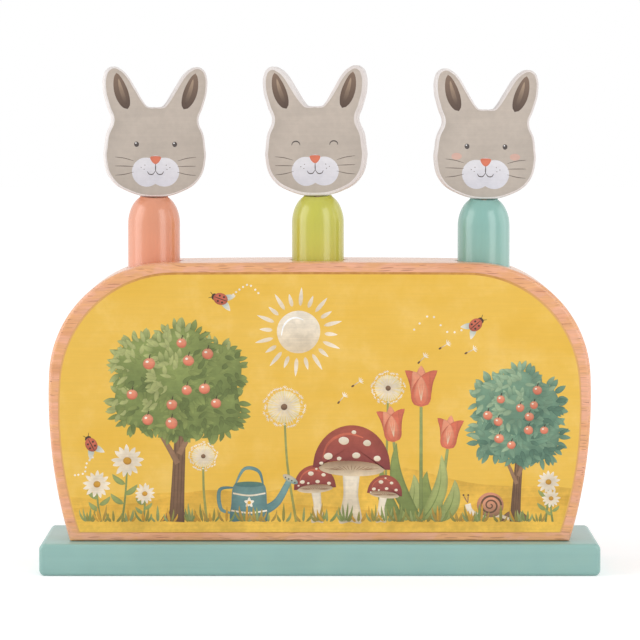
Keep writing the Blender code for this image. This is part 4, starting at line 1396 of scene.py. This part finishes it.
def draw_wash(add, side, outline):
    """The taupe ground of a face, which leaves a pale border along the head's edge."""
    notch = HEAD_OUTLINE_SHARES[-1][1] * HEAD_HEIGHT / MM

    def inset(x, z):
        return NOTCH_INSET + (FACE_INSETS[side] - NOTCH_INSET) * min(hypot(x, z - notch) / NOTCH_REACH, 1)

    wash = offset_by([(x / MM, z / MM) for x, z in outline], inset)
    add(patch(wash, FACE_CENTRE, FACE_RINGS), FACE_TAUPE, FACE_TAUPE_WARM, 0.8)


def draw_ear(add, hand):
    for (x, z), length, width, fullness, steps, tint in EARS:
        inside = leaf((hand * x, z), hand * EAR_LEAN, length, width, hand * EAR_BEND, fullness, 0.6, steps, 4)
        add(inside, EAR_BROWN, tint)


def draw_muzzle(add):
    for cheek in MUZZLE_CHEEKS:
        add(blob(*cheek), MUZZLE_SHADE, MUZZLE, 0.3)
    add(blob(*MUZZLE_MIDDLE), MUZZLE_SHADE, MUZZLE, 0)
    add(rounded(NOSE_POINTS), NOSE, NOSE)
    add(pen(LIP_LINE, LIP_WIDTH, 4), FACE_INK)


def draw_whiskers(add, hand):
    """One side of the mouth, with its whiskers and the dots that they start from."""
    add(pen(mirrored(MOUTH_LINE, hand), LIP_WIDTH, 4), FACE_INK)
    for dot in mirrored(WHISKER_DOTS, hand):
        add(blob(*dot, 0.4, 0.4), WHISKER_INK)
    for start, rise in WHISKERS:
        line = ((9.4, start), (13.4, start + rise * 0.7), (17.4, start + rise))
        add(pen(mirrored(line, hand), 0.34), WHISKER_INK)


def draw_eye(add, side, hand):
    """An eye, which is closed on the middle rabbit, and a blush under the right rabbit's."""
    eye = hand * EYE_REACH
    if side == "middle":
        add(pen(arch(eye, 21.8, 3.6, 1.7), 0.55, 4), FACE_INK)
    else:
        add(blob(eye, 22.5, 2.1, 2.3, 0.03, 1), FACE_INK)
        add(blob(eye - 0.3, 23.0, 0.6, 0.6), WHITE)
    if side == "right":
        add(blob(hand * 12.6, 18.2, 4.4, 3.0, 0.05, 2), BLUSH)


def make_face(side, outline):
    picture = Picture(f"{side}_face", -HEAD_THICKNESS / 2, [], HEAD_SHIFTS[side], HEAD_LEANS[side])
    draw_wash(picture.add, side, outline)
    for hand in (-1, 1):
        draw_ear(picture.add, hand)
    draw_muzzle(picture.add)
    for hand in (-1, 1):
        draw_whiskers(picture.add, hand)
        draw_eye(picture.add, side, hand)
    place = (PEG_PLACES[side], 0, CHIN_HEIGHTS[side])
    picture.hang(f"{side}_rabbit", "taupe_print", "face", place, HEAD_TURNS[side])


# Stage, with its colours as linear values from 0 to 1

FLOOR_REACH = 6.0
FLOOR_COLOUR = (0.9, 0.9, 0.9)
FLOOR_LIFT_REACH = (0.1, 0.7)
FLOOR_LIFT = (0.35, 0.6)
ROOM_LIGHT = 0.59
LAMP_TARGET = Vector((0, 0, 0.12))

# Lamps: azimuth from the front towards the right, elevation, distance, width, height and power
LAMPS = {
    "left_box": (-72, 19, 1.6, 1.1, 1.4, 9.0),
    "right_box": (40, 19, 1.1, 0.54, 0.96, 3.7),
    "right_fill": (97, 14, 1.6, 1.1, 1.2, 3.6),
    "left_card": (-94, 8, 0.25, 0.18, 0.3, 0.08),
}

# Camera: its tilt up from straight down in degrees, its lens and sensor in millimetres
CAMERA_PLACE = (0.0001, -1.543, 0.20545)
CAMERA_TILT = 86.33
CAMERA_LENS = 202
CAMERA_SENSOR = 36


def make_floor():
    """A plain pale floor, which shows the toy's shadow and otherwise fades to white."""
    mesh = bpy.data.meshes.new("floor")
    corners = [(x * FLOOR_REACH, y * FLOOR_REACH, 0) for x, y in ((-1, -1), (1, -1), (1, 1), (-1, 1))]
    mesh.from_pydata(corners, [], [range(len(corners))])
    nodes = Nodes(bpy.data.materials.new("floor"))
    nodes.tree.nodes.clear()
    matte = nodes.add("BsdfDiffuse", {"Color": filled(FLOOR_COLOUR)})[0]
    distance = nodes.add("VectorMath", {0: nodes.place()}, operation="LENGTH")["Value"]
    lift = nodes.ramp(distance, FLOOR_LIFT_REACH, FLOOR_LIFT)
    glow = nodes.add("Emission", {"Color": filled(FLOOR_COLOUR), "Strength": lift})[0]
    both = nodes.add("AddShader", {0: matte, 1: glow})[0]
    nodes.add("OutputMaterial", {0: nodes.add("MixShader", {0: nodes.seen(), 1: matte, 2: both})[0]})
    mesh.materials.append(nodes.owner)
    floor = add_object("floor", mesh)


def light_world():
    """An even white room, which cameras and reflections see as white."""
    world = bpy.data.worlds.new("room")
    bpy.context.scene.world = world
    nodes = Nodes(world)
    nodes.tree.nodes.clear()
    strength = nodes.ramp(nodes.seen(), (0, 1), (ROOM_LIGHT, 1), smooth=False)
    room = nodes.add("Background", {"Color": filled((1, 1, 1)), "Strength": strength})
    nodes.add("OutputWorld", {0: room[0]})


def add_lamp(name, azimuth, elevation, distance, width, height, power):
    """A soft box that faces the toy."""
    data = bpy.data.lights.new(name, "AREA")
    data.shape = "RECTANGLE"
    data.size = width
    data.size_y = height
    data.energy = power
    lamp = add_object(name, data)
    flat = distance * cos(radians(elevation))
    x, y = towards((0, 0), azimuth, flat)
    lamp.location = LAMP_TARGET + Vector((x, -y, distance * sin(radians(elevation))))
    lamp.rotation_euler = (lamp.location - LAMP_TARGET).to_track_quat("Z", "Y").to_euler()


def add_camera():
    data = bpy.data.cameras.new("camera")
    data.lens = CAMERA_LENS
    data.sensor_width = CAMERA_SENSOR
    camera = add_object("camera", data)
    camera.location = CAMERA_PLACE
    camera.rotation_euler.x = radians(CAMERA_TILT)
    bpy.context.scene.camera = camera


make_base_board()
make_body_block()
make_panel()
outline = head_outline()
for side in SIDES:
    make_peg(side, outline)
    make_spring(side)
    make_head(side, outline)
    make_face(side, outline)
dress_hidden_parts()
make_floor()
light_world()
for name, values in LAMPS.items():
    add_lamp(name, *values)
add_camera()
bpy.context.scene.view_settings.view_transform = "Standard"

bpy.context.view_layer.update()
